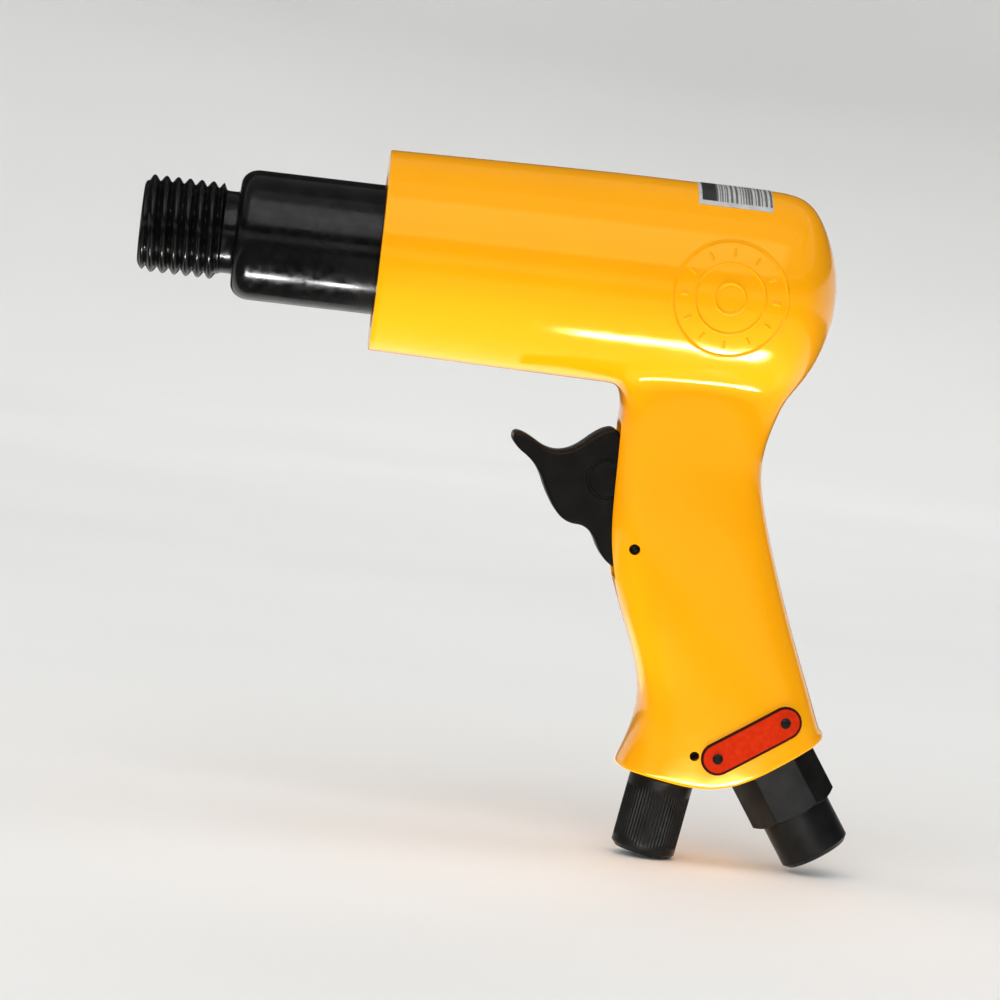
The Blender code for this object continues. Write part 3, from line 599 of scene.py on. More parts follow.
GRIP_ROWS = (
    # z, front x, back x (both from the casting's front face), half width
    (-34.5, 62.3, 97.3, 12.9),
    (-42.0, 62.5, 96.6, 13.4),
    (-50.0, 62.6, 98.4, 14.1),
    (-57.0, 62.8, 100.6, 14.7),
    (-64.0, 63.5, 103.0, 15.1),
    (-71.5, 65.4, 105.8, 15.4),
    (-79.0, 67.9, 108.7, 15.6),
    (-86.5, 71.3, 111.8, 15.8),
    (-94.0, 74.0, 115.0, 15.9),
    (-101.0, 74.9, 117.8, 16.0),
)
BASE_FRONT, BASE_BACK, BASE_HALF_WIDTH = 70.9, 119.4, 16.0
SLOT_ROWS = range(2, 8)
SLOT_DEPTH_X = CASTING_START + 66.5
SLOT_CREASE = 0.5
SLOT_RIM = 0.5


def spline_shrink(ring):
    """How far inside a round control ring its smooth surface lies."""
    return 2 / 3 + math.cos(TAU / ring) / 3


def body_ring(station, radius):
    r = radius / spline_shrink(BODY_RING)
    angles = [TAU * j / BODY_RING for j in range(BODY_RING)]
    return [Vector((CASTING_START + station, r * math.sin(a), -r * math.cos(a))) for a in angles]


def grip_point(k, front, back, half_width):
    """Point k of a ring round the grip, a superellipse that starts at its front edge."""
    angle = TAU * k / GRIP_RING
    power = 2 / GRIP_SQUARENESS
    cosine, sine = math.cos(angle), math.sin(angle)
    reach = math.copysign(abs(cosine) ** power, cosine)
    side = math.copysign(abs(sine) ** power, sine)
    middle, half = (front + back) / 2, (back - front) / 2 / spline_shrink(GRIP_RING)
    return CASTING_START + middle - half * reach, half_width * side


def neck_ring(bm):
    """The ring under the body, which follows it round from its sides to its front and back."""
    ring = []
    for k in range(GRIP_RING):
        x, y = grip_point(k, NECK_FRONT, NECK_BACK, NECK_HALF_WIDTH)
        cosine = math.cos(TAU * k / GRIP_RING)
        end = NECK_FRONT_Z if cosine > 0 else NECK_BACK_Z
        ring.append(bm.verts.new((x, y, NECK_SIDE_Z + (end - NECK_SIDE_Z) * cosine**2)))
    return ring


def base_ring(bm, front, back, half_width, height):
    """A ring round the foot of the grip, height above its two base planes."""
    ring = []
    for k in range(GRIP_RING):
        x, y = grip_point(k, front, back, half_width)
        if k in (4, 12):
            x = BASE_RIDGE_X
        ring.append(bm.verts.new((x, y, height(facet_z(x)))))
    return ring


def grip_rings(bm, body):
    """Rings of vertices from the hole under the body down to the inside of the base."""
    first, last = body[GRIP_FIRST], body[GRIP_LAST]
    middle = body[GRIP_FIRST + 1 : GRIP_LAST]
    loop = [first[0], first[1], first[2]] + [ring[2] for ring in middle]
    loop += [last[2], last[1], last[0], last[-1], last[-2]]
    loop += [ring[-2] for ring in reversed(middle)] + [first[-2], first[-1]]
    rings = [loop, neck_ring(bm)]
    for number, (z, front, back, half_width) in enumerate(GRIP_ROWS, 2):
        ring = []
        for k in range(GRIP_RING):
            x, y = grip_point(k, front, back, half_width)
            if number in SLOT_ROWS and k in (1, 15):
                x, y = CASTING_START + front - SLOT_RIM, math.copysign(SLOT_HALF + 0.1, y)
            ring.append(bm.verts.new((x, y, z)))
        rings.append(ring)
    lowest_row = GRIP_ROWS[-1][0]
    front, back, side = BASE_FRONT, BASE_BACK, BASE_HALF_WIDTH
    rings.append(base_ring(bm, front + 2.6, back - 0.7, side - 0.05, lambda z: (z + lowest_row) / 2))
    rings.append(base_ring(bm, front + 0.2, back - 0.1, side, lambda z: z + EDGE))
    rings.append(base_ring(bm, front, back, side, lambda z: z))
    rings.append(base_ring(bm, front + EDGE, back - EDGE, side - EDGE, lambda z: z))
    return rings


def cut_trigger_slot(bm, rings):
    """Opens the front of the grip and gives the opening walls, with its rim softly creased."""
    top, bottom = rings[SLOT_ROWS[0]], rings[SLOT_ROWS[-1]]
    left = [rings[row][15] for row in SLOT_ROWS]
    right = [rings[row][1] for row in SLOT_ROWS]
    rim = [*left, bottom[0], *reversed(right), top[0]]
    for row in list(SLOT_ROWS)[1:-1]:
        bm.verts.remove(rings[row][0])
    floor = []
    for vertex in rim:
        y = max(-SLOT_HALF, min(SLOT_HALF, vertex.co.y))
        floor.append(bm.verts.new((SLOT_DEPTH_X, y, vertex.co.z)))
    crease = bm.edges.layers.float["crease_edge"]
    for k, vertex in enumerate(rim):
        m = (k + 1) % len(rim)
        bm.faces.new((vertex, rim[m], floor[m], floor[k]))
    bm.faces.new(floor)
    corners = (left[0], left[-1], right[0], right[-1])
    for k, vertex in enumerate(rim):
        m = (k + 1) % len(rim)
        bm.edges.get((vertex, rim[m]))[crease] = SLOT_CREASE
        bm.edges.get((floor[k], floor[m]))[crease] = 1.0
        if vertex in corners:
            bm.edges.get((vertex, floor[k]))[crease] = 1.0


def casting_cage():
    """The casting's control cage: body with its mouth and dome, grip, base and trigger slot."""
    bm = bmesh.new()
    bm.edges.layers.float.new("crease_edge")
    stations = MOUTH_STATIONS + BODY_STATIONS
    body = [[bm.verts.new(p) for p in body_ring(x, r)] for x, r in stations]
    for i in range(len(body) - 1):
        for j in range(BODY_RING):
            if GRIP_FIRST <= i < GRIP_LAST and j in UNDER:
                continue
            k = (j + 1) % BODY_RING
            bm.faces.new((body[i][j], body[i][k], body[i + 1][k], body[i + 1][j]))
    bm.faces.new(body[0])
    bm.faces.new(body[-1])
    rings = grip_rings(bm, body)
    for row, (upper, lower) in enumerate(zip(rings, rings[1:])):
        for k in range(GRIP_RING):
            if row in SLOT_ROWS[:-1] and k in (15, 0):
                continue
            m = (k + 1) % GRIP_RING
            bm.faces.new((upper[k], upper[m], lower[m], lower[k]))
    base = rings[-1]
    bm.faces.new([base[k] for k in (13, 14, 15, 0, 1, 2, 3)])
    bm.faces.new([base[k] for k in (3, 4, 12, 13)])
    bm.faces.new([base[k] for k in (4, 5, 11, 12)])
    bm.faces.new([base[k] for k in (5, 6, 7, 8, 9, 10, 11)])
    cut_trigger_slot(bm, rings)
    return bm


def casting_cutters():
    """The bores, passages and holes inside the casting, as the CAD has them."""
    seat = [
        (MOUTH_DEPTH + CASTING_START - 2, 0),
        (MOUTH_DEPTH + CASTING_START - 2, MOUTH_RADIUS - EDGE),
        (98.0, MOUTH_RADIUS - EDGE),
        (98.0, FLANGE_RADIUS + 0.4),
        (BARREL_END + GAP, FLANGE_RADIUS + 0.4),
        (BARREL_END + GAP, 14.4),
        (148.6, 14.4),
        (148.6, 10.0),
        (154.0, 10.0),
        (154.0, 0),
    ]
    cutters = [new_object("cutter", turned(seat), frame_along((0, 0, 0), ALONG_BARREL))]
    start = SLOT_DEPTH_X - 1
    half = SLOT_HALF - 0.05
    cutters.append(box_cutter((start, -half, -57), (CASTING_START + 68.5, half, -34.6)))
    cutters.append(box_cutter((start, -half, -71.4), (PIVOT_X + 6, half, -56)))
    cutters.append(tube_cutter((CASTING_START + 66, 0, THROTTLE_Z), (SEAT_X, 0, THROTTLE_Z), 6.1))
    cutters.append(tube_cutter((SEAT_X - 1, 0, THROTTLE_Z), (CHAMBER_END_X, 0, THROTTLE_Z), 5.2))
    cutters.append(tube_cutter((CASTING_START + 73, 0, THROTTLE_Z + 3), (CASTING_START + 97.5, 0, -6), 2.6))
    cutters.append(tube_cutter(
        INLET_CENTRE + INLET_OUT * 5, INLET_CENTRE - INLET_OUT * (INLET_SHANK + 1), 8.0, 64))
    regulator_end = REGULATOR_CENTRE - REGULATOR_OUT * (REGULATOR_STEM + 0.6)
    cutters.append(tube_cutter(
        REGULATOR_CENTRE + REGULATOR_OUT * 5, regulator_end, REGULATOR_STEM_RADIUS + 0.4, 64))
    cutters.append(tube_cutter(
        INLET_CENTRE - INLET_OUT * (INLET_SHANK - 0.5),
        REGULATOR_CENTRE - REGULATOR_OUT * REGULATOR_PORT_DEPTH, 2.8))
    cutters.append(tube_cutter(
        REGULATOR_CENTRE - REGULATOR_OUT * (REGULATOR_STEM - 1), (CASTING_START + 87.5, 0, THROTTLE_Z), 3.6))
    for at, radius in (((PIVOT_X, 0, PIVOT_Z), PIVOT_PIN_RADIUS), (REGULATOR_PIN, REGULATOR_PIN_RADIUS)):
        middle = Vector(at)
        cutters.append(tube_cutter(middle - ACROSS * 30, middle + ACROSS * 30, radius + 0.15, 48))
    return cutters


def make_casting():
    casting = new_object("casting_surface", casting_cage())
    surface = casting.modifiers.new("surface", "SUBSURF")
    surface.levels = FINE
    surface.render_levels = FINE
    bake_modifiers(casting)
    combine(casting, casting_cutters())
    return finish_piece(casting, "hammer", PAINT, ["housing"])


def cast_onto(surface, origin, direction):
    """The point and normal where a ray meets a finished surface; everything is in the tool frame."""
    hit, point, normal, _ = surface.ray_cast(place(origin), Vector(direction), distance=0.2)
    if not hit:
        raise ValueError("a ray misses the casting")
    return (point - MUZZLE) / MM, normal


def raised_band(bm, surface, line, half_width, height, closed):
    """A low round bead along a line of (x, z) points on the casting's left side."""
    across = (-1.0, -0.75, -0.4, 0.0, 0.4, 0.75, 1.0)
    rows = []
    count = len(line)
    for i, point in enumerate(line):
        here = Vector(point)
        if closed:
            along = Vector(line[(i + 1) % count]) - Vector(line[i - 1])
        else:
            along = Vector(line[min(i + 1, count - 1)]) - Vector(line[max(i - 1, 0)])
        side = Vector((-along.y, along.x)).normalized()
        end = 1.0
        if not closed:
            end = math.sqrt(max(0.0, 1 - (abs(2 * i / (count - 1) - 1)) ** 6))
        row = []
        for t in across:
            spot = here + side * (t * half_width)
            foot, normal = cast_onto(surface, (spot.x, -60, spot.y), ACROSS)
            lift = height * end * (0.5 + 0.5 * math.cos(math.pi * t)) - 0.03
            row.append(bm.verts.new(foot + normal * lift))
        under, normal = cast_onto(surface, (here.x, -60, here.y), ACROSS)
        row.append(bm.verts.new(under - normal * 0.4))
        rows.append(row)
    skin(bm, rows, loop_back=closed)


def arc_line(radius, start, end, count, closed=False):
    """(x, z) points on a circle round the mark's centre."""
    spans = count if closed else count - 1
    angles = [math.radians(start + (end - start) * i / spans) for i in range(count)]
    return [(MARK_X + radius * math.cos(a), MARK_Z + radius * math.sin(a)) for a in angles]


def make_mark(casting):
    """A plain cast mark: two rings with short bars between them, and a round centre."""
    bm = bmesh.new()
    raised_band(bm, casting, arc_line(13.6, 0, 360, 144, True), 0.55, 0.42, True)
    raised_band(bm, casting, arc_line(8.3, 0, 360, 96, True), 0.45, 0.34, True)
    for bar in range(12):
        angle = math.radians(bar * 30)
        line = []
        for i in range(9):
            r = 9.9 + 2.1 * i / 8
            line.append((MARK_X + r * math.cos(angle), MARK_Z + r * math.sin(angle)))
        raised_band(bm, casting, line, 0.5, 0.32, False)
    raised_band(bm, casting, arc_line(3.6, 0, 360, 64, True), 0.45, 0.34, True)
    mark = new_object("cast_mark", bm)
    return finish_piece(mark, "hammer", PAINT)


# Barrel


def thread_wave(phase):
    """0 at the root of a thread and 1 at its crest, which is round and wider than the root."""
    return abs(math.sin(math.pi * phase)) ** 1.3


def nose_radius(height, radius, angle):
    """The barrel's nose carries a right-handed thread that fades in and runs out."""
    if height < 0.2 or height > NOSE_LENGTH or radius < THREAD_ROOT - 1:
        return radius
    depth = THREAD_CREST - THREAD_ROOT
    fade = min(1.0, (height - 0.2) / 1.2, (NOSE_LENGTH - height) / 0.9)
    wave = thread_wave(height / THREAD_PITCH - angle / TAU)
    return THREAD_ROOT - 0.3 * (1 - fade) + depth * wave * fade


def barrel_outer():
    path = [(0.0, THREAD_ROOT - 0.8), (0.35, THREAD_ROOT - 0.35)]
    rows = 140
    path += [(0.5 + (NOSE_LENGTH - 0.5) * i / rows, THREAD_ROOT) for i in range(rows + 1)]
    path += [(NOSE_LENGTH + 0.15, NECK_RADIUS + 0.1), (NOSE_LENGTH + 0.5, NECK_RADIUS)]
    path += [(NECK_END - 0.5, NECK_RADIUS), (NECK_END - 0.1, NECK_RADIUS + 0.15)]
    path += [(NECK_END, NECK_RADIUS + 0.6)]
    for i in range(13):
        angle = math.radians(90) * i / 12
        path.append((
            NECK_END + SHOULDER_LENGTH * (1 - math.cos(angle)),
            SHOULDER_START_RADIUS + (BARREL_RADIUS - SHOULDER_START_RADIUS) * math.sin(angle)))
    path += [(45.0, BARREL_RADIUS), (FLANGE_START, BARREL_RADIUS), (FLANGE_START, FLANGE_RADIUS)]
    path += [(BARREL_END, FLANGE_RADIUS)]
    return path


def make_barrel():
    inner = [
        (BARREL_END, PISTON_BORE),
        (SHANK_DEPTH, PISTON_BORE),
        (SHANK_DEPTH, SHANK_RADIUS),
        (1.5, SHANK_RADIUS),
        (1.2, SHANK_RADIUS + 0.12),
        (0.25, SHANK_RADIUS + 1.1),
        (0.0, SHANK_RADIUS + 1.4),
    ]
    bm = turned(barrel_outer() + inner, STEPS, closed=True, radius_at=nose_radius)
    barrel = new_object("barrel_tube", bm, frame_along((0, 0, 0), ALONG_BARREL), 40)
    ports = []
    for direction in (ACROSS, Vector((0, 0, 1))):
        middle = Vector((EXHAUST_PORT_X, 0, 0))
        ports.append(tube_cutter(middle - direction * 20, middle + direction * 20, 2.2))
    combine(barrel, ports)
    return finish_piece(barrel, "hammer", BARREL_STEEL, ["barrel"])


# Trigger

TRIGGER_CORNERS = (
    # x from the casting's front face, z; a coarse polygon that smooth_outline rounds
    (63.6, -38.0),
    (59.6, -34.4),
    (48.8, -44.6),
    (37.6, -37.8),
    (36.2, -41.6),
    (43.4, -46.2),
    (46.6, -53.6),
    (51.0, -59.4),
    (57.6, -59.4),
    (61.6, -67.8),
    (68.2, -69.8),
    (73.6, -65.8),
    (72.6, -58.8),
    (65.6, -58.0),
    (64.6, -50.0),
)
TRIGGER_POCKET = (
    (51.4, -42.6),
    (59.6, -38.9),
    (72.0, -38.9),
    (72.0, -55.8),
    (58.8, -54.8),
    (53.0, -54.8),
    (50.0, -52.0),
)
TRIGGER_RING_AT = (CASTING_START + 60.3, 0, -47.8)


def make_trigger():
    outline = [(CASTING_START + x, z) for x, z in smooth_outline(TRIGGER_CORNERS, 10)]
    trigger = plate("trigger_lever", outline, TRIGGER_WIDTH, 0.9)
    pocket = [(CASTING_START + x, z) for x, z in eased(TRIGGER_POCKET, 1.5, closed=True)]
    hole = tube_cutter(
        (PIVOT_X, -30, PIVOT_Z), (PIVOT_X, 30, PIVOT_Z), PIVOT_PIN_RADIUS + GAP, 48)
    combine(trigger, [plate("cutter", pocket, 8.6, 0.5), hole])
    groove = [(TRIGGER_WIDTH / 2 - 0.4, 4.2), (TRIGGER_WIDTH / 2 - 0.4, 5.0),
              (TRIGGER_WIDTH / 2 + 1, 5.4), (TRIGGER_WIDTH / 2 + 1, 3.8)]
    combine(trigger, [
        new_object("cutter", turned(groove, 64, closed=True), frame_along(TRIGGER_RING_AT, ACROSS * side))
        for side in (-1, 1)])
    return finish_piece(trigger, "trigger", TRIGGER_BLACK, ["trigger"])


# Fittings


def make_inlet():
    """A hexagon with chamfered corners, a round collar, a shank and a threaded port."""
    corner = INLET_HEX_ACROSS / 2 / math.cos(math.radians(30))
    bm = bmesh.new()
    bmesh.ops.create_cone(
        bm, cap_ends=True, segments=6, radius1=corner, radius2=corner,
        depth=INLET_HEX_LENGTH - GAP,
        matrix=Matrix.Translation((0, 0, (INLET_HEX_LENGTH + GAP) / 2)))
    upright = [e for e in bm.edges if abs((e.verts[0].co - e.verts[1].co).z) > 1]
    bmesh.ops.bevel(bm, geom=upright, offset=0.35, segments=3, affect="EDGES", profile=0.5)
    at = frame_along(INLET_CENTRE, INLET_OUT)
    inlet = new_object("inlet_fitting", bm, at)
    across = INLET_HEX_ACROSS / 2
    chamfer = (corner - across + 0.2) * math.tan(math.radians(28))
    envelope = [
        (GAP - 0.1, 0), (GAP - 0.1, across - 0.2), (GAP + chamfer, corner + 0.1),
        (INLET_HEX_LENGTH - chamfer, corner + 0.1), (INLET_HEX_LENGTH + 0.1, across - 0.2),
        (INLET_HEX_LENGTH + 0.1, 0)]
    combine(inlet, [new_object("cutter", turned(envelope), at)], "INTERSECT")
    core = [
        (-INLET_SHANK, 0), (-INLET_SHANK, 7.0), (-INLET_SHANK + 0.6, 7.6), (2.0, 7.6), (2.0, INLET_RADIUS),
        (INLET_LENGTH - TIP_CHAMFER, INLET_RADIUS), (INLET_LENGTH, INLET_RADIUS - TIP_CHAMFER),
        (INLET_LENGTH, 0)]
    combine(inlet, [new_object("cutter", turned(eased(core, 0.25)), at)], "UNION")

    def port_radius(height, radius, angle):
        if radius < 5.5 or height < 9.5 or height > INLET_LENGTH:
            return radius
        fade = min(1.0, (height - 9.5) / 1.5)
        return radius + 0.5 * fade * thread_wave(height / 1.4 - angle / TAU)

    bore = [(-INLET_SHANK - 2, 0), (-INLET_SHANK - 2, 4.6), (8.5, 4.6), (8.5, 5.6)]
    bore += [(9.0 + (INLET_LENGTH - 9.6) * i / 90, 5.6) for i in range(91)]
    bore += [(INLET_LENGTH, 6.2), (INLET_LENGTH + 1, 6.6), (INLET_LENGTH + 1, 0)]
    combine(inlet, [new_object("cutter", turned(bore, STEPS, radius_at=port_radius), at)])
    return finish_piece(inlet, "hammer", FITTING_STEEL, ["inlet_bushing"])


KNURL_COUNT = 60
KNURL_DEPTH = 0.2


def knurl_radius(height, radius, angle):
    """Straight knurling round the middle of the knob."""
    from_tip = KNOB_LENGTH + height
    if radius < KNOB_RADIUS - 0.01 or not 2.4 < from_tip < KNOB_LENGTH - 3.4:
        return radius
    fade = min(1.0, (from_tip - 2.4) / 0.8, (KNOB_LENGTH - 3.4 - from_tip) / 0.8)
    return radius - KNURL_DEPTH * fade * (0.5 - 0.5 * math.cos(KNURL_COUNT * angle))


def make_regulator():
    stem = REGULATOR_STEM_RADIUS
    outline = [
        (-KNOB_LENGTH, 0.0), (-KNOB_LENGTH, KNOB_RADIUS - TIP_CHAMFER),
        (-KNOB_LENGTH + TIP_CHAMFER, KNOB_RADIUS)]
    outline += [(-KNOB_LENGTH + 2.2 + (KNOB_LENGTH - 5.0) * i / 24, KNOB_RADIUS) for i in range(25)]
    outline += [
        (-GAP - 0.8, KNOB_RADIUS), (-GAP, KNOB_RADIUS - 0.8), (-GAP, stem), (2.4, stem), (2.4, 4.3),
        (4.3, 4.3), (4.3, stem), (REGULATOR_PIN_DEPTH - 1.6, stem),
        (REGULATOR_PIN_DEPTH - 1.6, 2.9), (REGULATOR_PIN_DEPTH + 1.6, 2.9),
        (REGULATOR_PIN_DEPTH + 1.6, stem), (REGULATOR_STEM, stem), (REGULATOR_STEM, 3.2),
        (REGULATOR_STEM - 6.2, 3.2), (REGULATOR_STEM - 6.2, 0.0)]
    at = frame_along(REGULATOR_CENTRE, -REGULATOR_OUT)
    steps = KNURL_COUNT * 8
    knob = new_object("regulator_body", turned(eased(outline, 0.2, 2), steps, radius_at=knurl_radius), at)
    port_start = REGULATOR_CENTRE - REGULATOR_OUT * REGULATOR_PORT_DEPTH
    bm = bmesh.new()
    bmesh.ops.create_cube(bm, size=1)
    bmesh.ops.scale(bm, vec=(2.0, 2 * KNOB_RADIUS + 2, 2.8), verts=bm.verts)
    bmesh.ops.translate(bm, vec=(0, 0, -KNOB_LENGTH), verts=bm.verts)
    combine(knob, [
        tube_cutter(port_start, port_start + ALONG_BARREL * 12, 2.2), new_object("cutter", bm, at)])
    return finish_piece(knob, "regulator", FITTING_STEEL, ["regulator_knob"])


# Labels


def pill_plate(bm, surface, half_length, half_height, thickness):
    """A thin plate with round ends, bent on to the casting's side. U holds the inset from its edge."""
    turn = Matrix.Rotation(REAR_FACET, 2)
    uv = bm.loops.layers.uv.new("label")
    ends, straight = 24, 40
    insets = (0.0, 0.06, 0.16, 0.3, 0.45, 0.6, 1.0, 1.6, 2.2, 2.8)
    lifts = (0.0, 0.7, 0.93, 1.0, 1.0, 1.0, 1.0, 1.0, 1.0, 1.0)
    reach = half_length - half_height

    def outline(inset):
        r = half_height - inset
        points = []
        for i in range(ends):
            a = -math.pi / 2 + math.pi * i / ends
            points.append((reach + r * math.cos(a), r * math.sin(a)))
        points += [(reach - 2 * reach * i / straight, r) for i in range(straight)]
        for i in range(ends):
            a = math.pi / 2 + math.pi * i / ends
            points.append((-reach + r * math.cos(a), r * math.sin(a)))
        points += [(-reach + 2 * reach * i / straight, -r) for i in range(straight)]
        return points

    def ring(inset, lift):
        vertices = []
        for point in outline(inset):
            spot = turn @ Vector(point)
            foot, normal = cast_onto(surface, (LABEL_CENTRE.x + spot.x, -60, LABEL_CENTRE.z + spot.y), ACROSS)
            vertices.append(bm.verts.new(foot + normal * lift))
        return vertices

    rings = [ring(0.0, -0.15)] + [ring(i, thickness * t) for i, t in zip(insets, lifts)]
    inset_of = {}
    for inset, vertices in zip((0.0, *insets), rings):
        inset_of.update((vertex, inset) for vertex in vertices)
    skin(bm, rings, cap_start=True, cap_end=False)
    inner = rings[-1]
    count = len(inner)
    bottom = [inner[(ends + straight + ends + k) % count] for k in range(straight + 1)]
    top = [inner[(ends + straight - k) % count] for k in range(straight + 1)]
    for k in range(straight):
        bm.faces.new((bottom[k], bottom[k + 1], top[k + 1], top[k]))
    bm.faces.new([bottom[-1], *[inner[i] for i in range(1, ends)], top[-1]])
    bm.faces.new([top[0], *[inner[ends + straight + i] for i in range(1, ends)], bottom[0]])
    for face in bm.faces:
        for loop in face.loops:
            loop[uv].uv = (inset_of[loop.vert] / 10, 0.5)


def make_grip_label(casting):
    bm = bmesh.new()
    pill_plate(bm, casting, LABEL_HALF_LENGTH, LABEL_HALF_HEIGHT, 0.5)
    label = new_object("grip_plate", bm)
    finish_piece(label, "hammer", RED_LABEL, ["grip_label"])
    along = Vector((math.cos(REAR_FACET), 0, math.sin(REAR_FACET)))
    for number, side in enumerate((-1, 1), 1):
        spot = LABEL_CENTRE + along * RIVET_REACH * side
        point, normal = cast_onto(casting, (spot.x, -60, spot.z), ACROSS)
        path = [(-0.3, 0), (-0.3, 1.1), (0.5, 1.2)]
        path += [(0.55 + 0.55 * math.sin(math.radians(a)), 1.25 * math.cos(math.radians(a)))
                 for a in range(0, 90, 9)]
        path.append((1.1, 0))
        rivet = new_object(f"plate_rivet_{number}", turned(path, 32), frame_along(point, normal))
        finish_piece(rivet, "hammer", FITTING_STEEL, [f"label_rivet_{number}"])


def make_top_label(casting):
    """A thin square sticker bent round the body's left shoulder. The UVs hold its own place."""
    bm = bmesh.new()
    uv = bm.loops.layers.uv.new("label")
    columns, rows = 24, 32
    length = 2 * SERIAL_HALF_LENGTH
    half_turn = SERIAL_HALF_HEIGHT / REAR_RADIUS
    first = math.radians(90) - SERIAL_LABEL_LEAN - half_turn
    grid, where = [], {}
    for i in range(columns + 1):
        line = []
        for j in range(rows + 1):
            x = SERIAL_LABEL_X + length * (i / columns - 0.5)
            angle = first + 2 * half_turn * j / rows
            inward = Vector((0, math.cos(angle), -math.sin(angle)))
            foot, normal = cast_onto(casting, Vector((x, 0, 0)) - inward * 45, inward)
            edge = min(i, columns - i, j, rows - j)
            vertex = bm.verts.new(foot + normal * (0.14 if edge else 0.1))
            where[vertex] = (length * i / columns / 10, j / rows)
            line.append(vertex)
        grid.append(line)
    for i in range(columns):
        for j in range(rows):
            bm.faces.new((grid[i][j], grid[i + 1][j], grid[i + 1][j + 1], grid[i][j + 1]))
    for face in bm.faces:
        for loop in face.loops:
            loop[uv].uv = where[loop.vert]
    label = new_object("top_sticker", bm)
    thick = label.modifiers.new("thickness", "SOLIDIFY")
    thick.thickness = 0.12 * MM
    thick.offset = -1
    bake_modifiers(label)
    return finish_piece(label, "hammer", FOIL_LABEL, ["serial_label"])


def paint_carried_nodes():
    """The CAD pieces that show as they are get the fine materials of their slots."""
    looks = {
        "bright_steel": BRIGHT_STEEL,
        "black_oxide_steel": FITTING_STEEL,
        "brass": BRASS,
        "black_rubber": RUBBER,
    }
    slots = {part["node"]: part["material_slot"] for part in frame["record"]["subparts"]}
    for name, node in frame["nodes"].items():
        if slots[name] in looks:
            node.data.materials.clear()
            node.data.materials.append(looks[slots[name]])
            node.data.shade_smooth()
            node.data.set_sharp_from_angle(angle=math.radians(35))


# Studio

GLINT_HEIGHT = 0.014


def stage_material():
    material = shader("studio_floor", (0.80, 0.80, 0.79), 0.8, Specular_IOR_Level=0.0)
    mottle(material, noise(material, 3, 2), (0.78, 0.78, 0.77), (0.82, 0.82, 0.81))
    return material


# Painted dark reflections: a dark sheet that only reflections see, standing in for dark surroundings.
def dark_reflection_material():
    material = shader("painted_dark_reflection", (0.02, 0.02, 0.02), 0.8)
    mottle(material, noise(material, 4, 2), (0.015, 0.015, 0.015), (0.03, 0.03, 0.03))
    return material


def reflected_only(obj):
    """A stage piece that only reflections see."""
    obj.data.materials.append(dark_reflection_material())
    obj.visible_camera = False
    obj.visible_diffuse = False
    obj.visible_shadow = False


def make_dark_reflection_sheets():
    """Painted dark reflections: a dark well round the tool, tall at its back, and a dark strip of floor under
    the barrel.
    """
    bm = bmesh.new()
    rows = []
    for i in range(64):
        angle = TAU * i / 64
        top = 1.0 + 1.4 * max(0.0, math.sin(angle))
        profile = ((0.45, 0.003), (2.2, 0.003), (2.2, top), (2.23, top), (2.23, -0.002), (0.45, -0.002))
        rows.append([bm.verts.new((r * math.cos(angle), r * math.sin(angle), z)) for r, z in profile])
    skin(bm, rows, loop_back=True)
    reflected_only(new_object("dark_well", bm, Matrix.Identity(4)))
    bm = bmesh.new()
    rows = []
    for i in range(13):
        y = -0.48 + 0.56 * i / 12
        left, right = -0.34 - 0.04 * math.cos(i / 12 * math.pi), -0.037
        rows.append([bm.verts.new((x, y, z)) for x, z in (
            (left, 0.004), (right, 0.004), (right, -0.002), (left, -0.002))])
    skin(bm, rows)
    reflected_only(new_object("dark_floor", bm, Matrix.Identity(4)))


def make_stage():
    """A pale bowl with a wide flat floor and high walls, so that no view shows a horizon."""
    flat, curve, wall = 1500.0, 900.0, 2600.0
    path = [(0, 0), (0, flat)]
    for i in range(1, 13):
        angle = math.radians(90) * i / 12
        path.append((curve * (1 - math.cos(angle)), flat + curve * math.sin(angle)))
    path.append((wall, flat + curve))
    bm = turned(path, 96)
    top = max(bm.faces, key=lambda face: face.calc_center_median().z)
    bm.faces.remove(top)
    middle = (CAD_BOUNDS[0] + CAD_BOUNDS[1]) / 2
    stage = new_object("studio_bowl", bm, Matrix.Translation((middle.x, middle.y, 0)) @ Matrix.Scale(MM, 4))
    stage.data.materials.append(stage_material())
    stage.visible_shadow = False


def area_light(name, at, towards, size, power, diffuse=True, glossy=True):
    """A soft light in metres and watts that the camera never sees."""
    light = bpy.data.lights.new(name, "AREA")
    light.shape = "RECTANGLE"
    light.size, light.size_y = size
    light.energy = power
    obj = bpy.data.objects.new(name, light)
    obj.location = at
    obj.rotation_euler = (Vector(towards) - Vector(at)).to_track_quat("-Z", "Y").to_euler()
    obj.visible_camera = False
    obj.visible_diffuse = diffuse
    obj.visible_glossy = glossy
    bpy.context.scene.collection.objects.link(obj)
    return obj


def glint_strip(name, start, end, width, power):
    """A narrow light just above the floor, facing up, that shows only in reflections."""
    start, end = Vector((*start, GLINT_HEIGHT)), Vector((*end, GLINT_HEIGHT))
    middle = (start + end) / 2
    along = end - start
    light = area_light(name, middle, middle + Vector((0, 0, 1)), (along.length, width), power, diffuse=False)
    light.rotation_euler = (math.pi, 0, math.atan2(along.y, along.x))
    return light


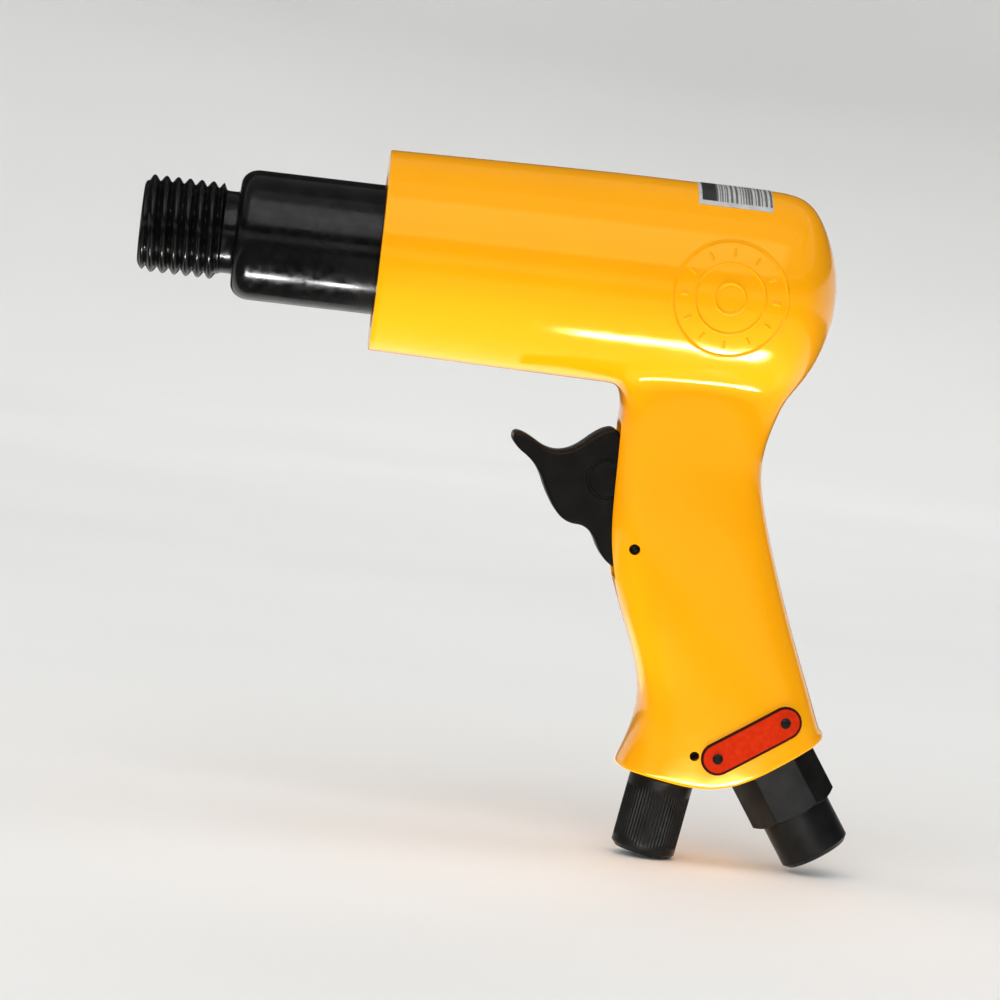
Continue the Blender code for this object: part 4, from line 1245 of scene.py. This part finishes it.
def make_lights():
    middle = (CAD_BOUNDS[0] + CAD_BOUNDS[1]) / 2
    area_light("key_softbox", (-0.5, -1.7, 1.5), middle, (2.4, 2.4), 28)
    area_light("overhead_softbox", (0.0, -0.3, 1.6), middle, (1.4, 1.4), 5.5, glossy=False)
    area_light("ceiling_card", (0.0, -0.75, 1.6), middle, (2.4, 1.5), 5, diffuse=False)
    area_light("left_fill", (-1.5, 0.1, 0.7), middle, (0.9, 0.9), 4, glossy=False)
    area_light("right_fill", (1.5, 0.2, 0.7), middle, (0.9, 0.9), 4, glossy=False)
    area_light("rear_fill", (0.2, 1.7, 1.0), middle, (1.2, 0.9), 7, glossy=False)
    area_light("under_light", (0.0, -0.25, -1.0), middle, (0.5, 0.5), 16, glossy=False)
    world = bpy.data.worlds.new("studio")
    world.use_nodes = True
    background = world.node_tree.nodes["Background"]
    background.inputs["Color"].default_value = (1, 1, 1, 1)
    background.inputs["Strength"].default_value = 0.25
    bpy.context.scene.world = world
    bpy.context.scene.view_settings.view_transform = "Standard"


def shine_only_on(pieces, lights):
    """Limits some lights to some pieces, so that they don't glare on the others."""
    receivers = bpy.data.collections.new(f"lit_{pieces[0].name}")
    for piece in pieces:
        receivers.objects.link(piece)
    for light in lights:
        light.light_linking.receiver_collection = receivers


def make_highlights(casting, barrel, fittings):
    """The casting's bright lower side and white highlights, and those of the black steel pieces."""
    panel = area_light("low_panel", (0.04, 0.0, 0.008), (0.04, 0.0, 0.1), (0.157, 0.38), 0.2, diffuse=False)
    panel.data.color = (1.0, 0.7, 0.1)
    shine_only_on([casting], [
        panel,
        glint_strip("glint_body", (0.016, -0.067), (0.051, -0.067), 0.015, 0.16),
        glint_strip("glint_dip", (0.051, -0.067), (0.062, -0.046), 0.010, 0.10),
        glint_strip("glint_rear", (0.062, -0.046), (0.076, -0.074), 0.012, 0.17),
    ])
    shine_only_on([barrel], [
        glint_strip("glint_barrel_front", (-0.0715, -0.045), (-0.062, -0.045), 0.010, 0.09),
        glint_strip("glint_barrel_back", (-0.047, -0.045), (-0.0405, -0.045), 0.010, 0.06),
        glint_strip("glint_thread", (-0.102, -0.045), (-0.080, -0.045), 0.018, 0.13),
    ])
    between = (0.06, 0.0, 0.015)
    shine_only_on(fittings, [
        area_light("fitting_card", (0.03, -0.35, 0.01), between, (0.24, 0.05), 0.3, diffuse=False),
        area_light("fitting_glint", (-0.02, -0.3, 0.01), between, (0.03, 0.05), 0.12, diffuse=False),
    ])


def make_camera():
    """The main view: square to the tool's left side, a little from ahead and above, rolled."""
    azimuth, elevation, roll = math.radians(-3.0), math.radians(4.0), math.radians(-6.8)
    camera = bpy.data.cameras.new("camera")
    camera.lens = 165
    camera.dof.use_dof = False
    obj = bpy.data.objects.new("camera", camera)
    back = Vector((
        math.sin(azimuth) * math.cos(elevation), -math.cos(azimuth) * math.cos(elevation),
        math.sin(elevation)))
    middle = (CAD_BOUNDS[0] + CAD_BOUNDS[1]) / 2
    obj.location = middle + back * 1.1
    upright = (-back).to_track_quat("-Z", "Y")
    obj.rotation_mode = "QUATERNION"
    obj.rotation_quaternion = upright @ Matrix.Rotation(-roll, 3, "Z").to_quaternion()
    bpy.context.scene.collection.objects.link(obj)
    bpy.context.scene.camera = obj


make_camera()
make_stage()
make_dark_reflection_sheets()
make_lights()
paint_carried_nodes()
casting_piece = make_casting()
make_mark(casting_piece)
make_highlights(casting_piece, make_barrel(), [make_inlet(), make_regulator()])
make_trigger()
make_grip_label(casting_piece)
make_top_label(casting_piece)
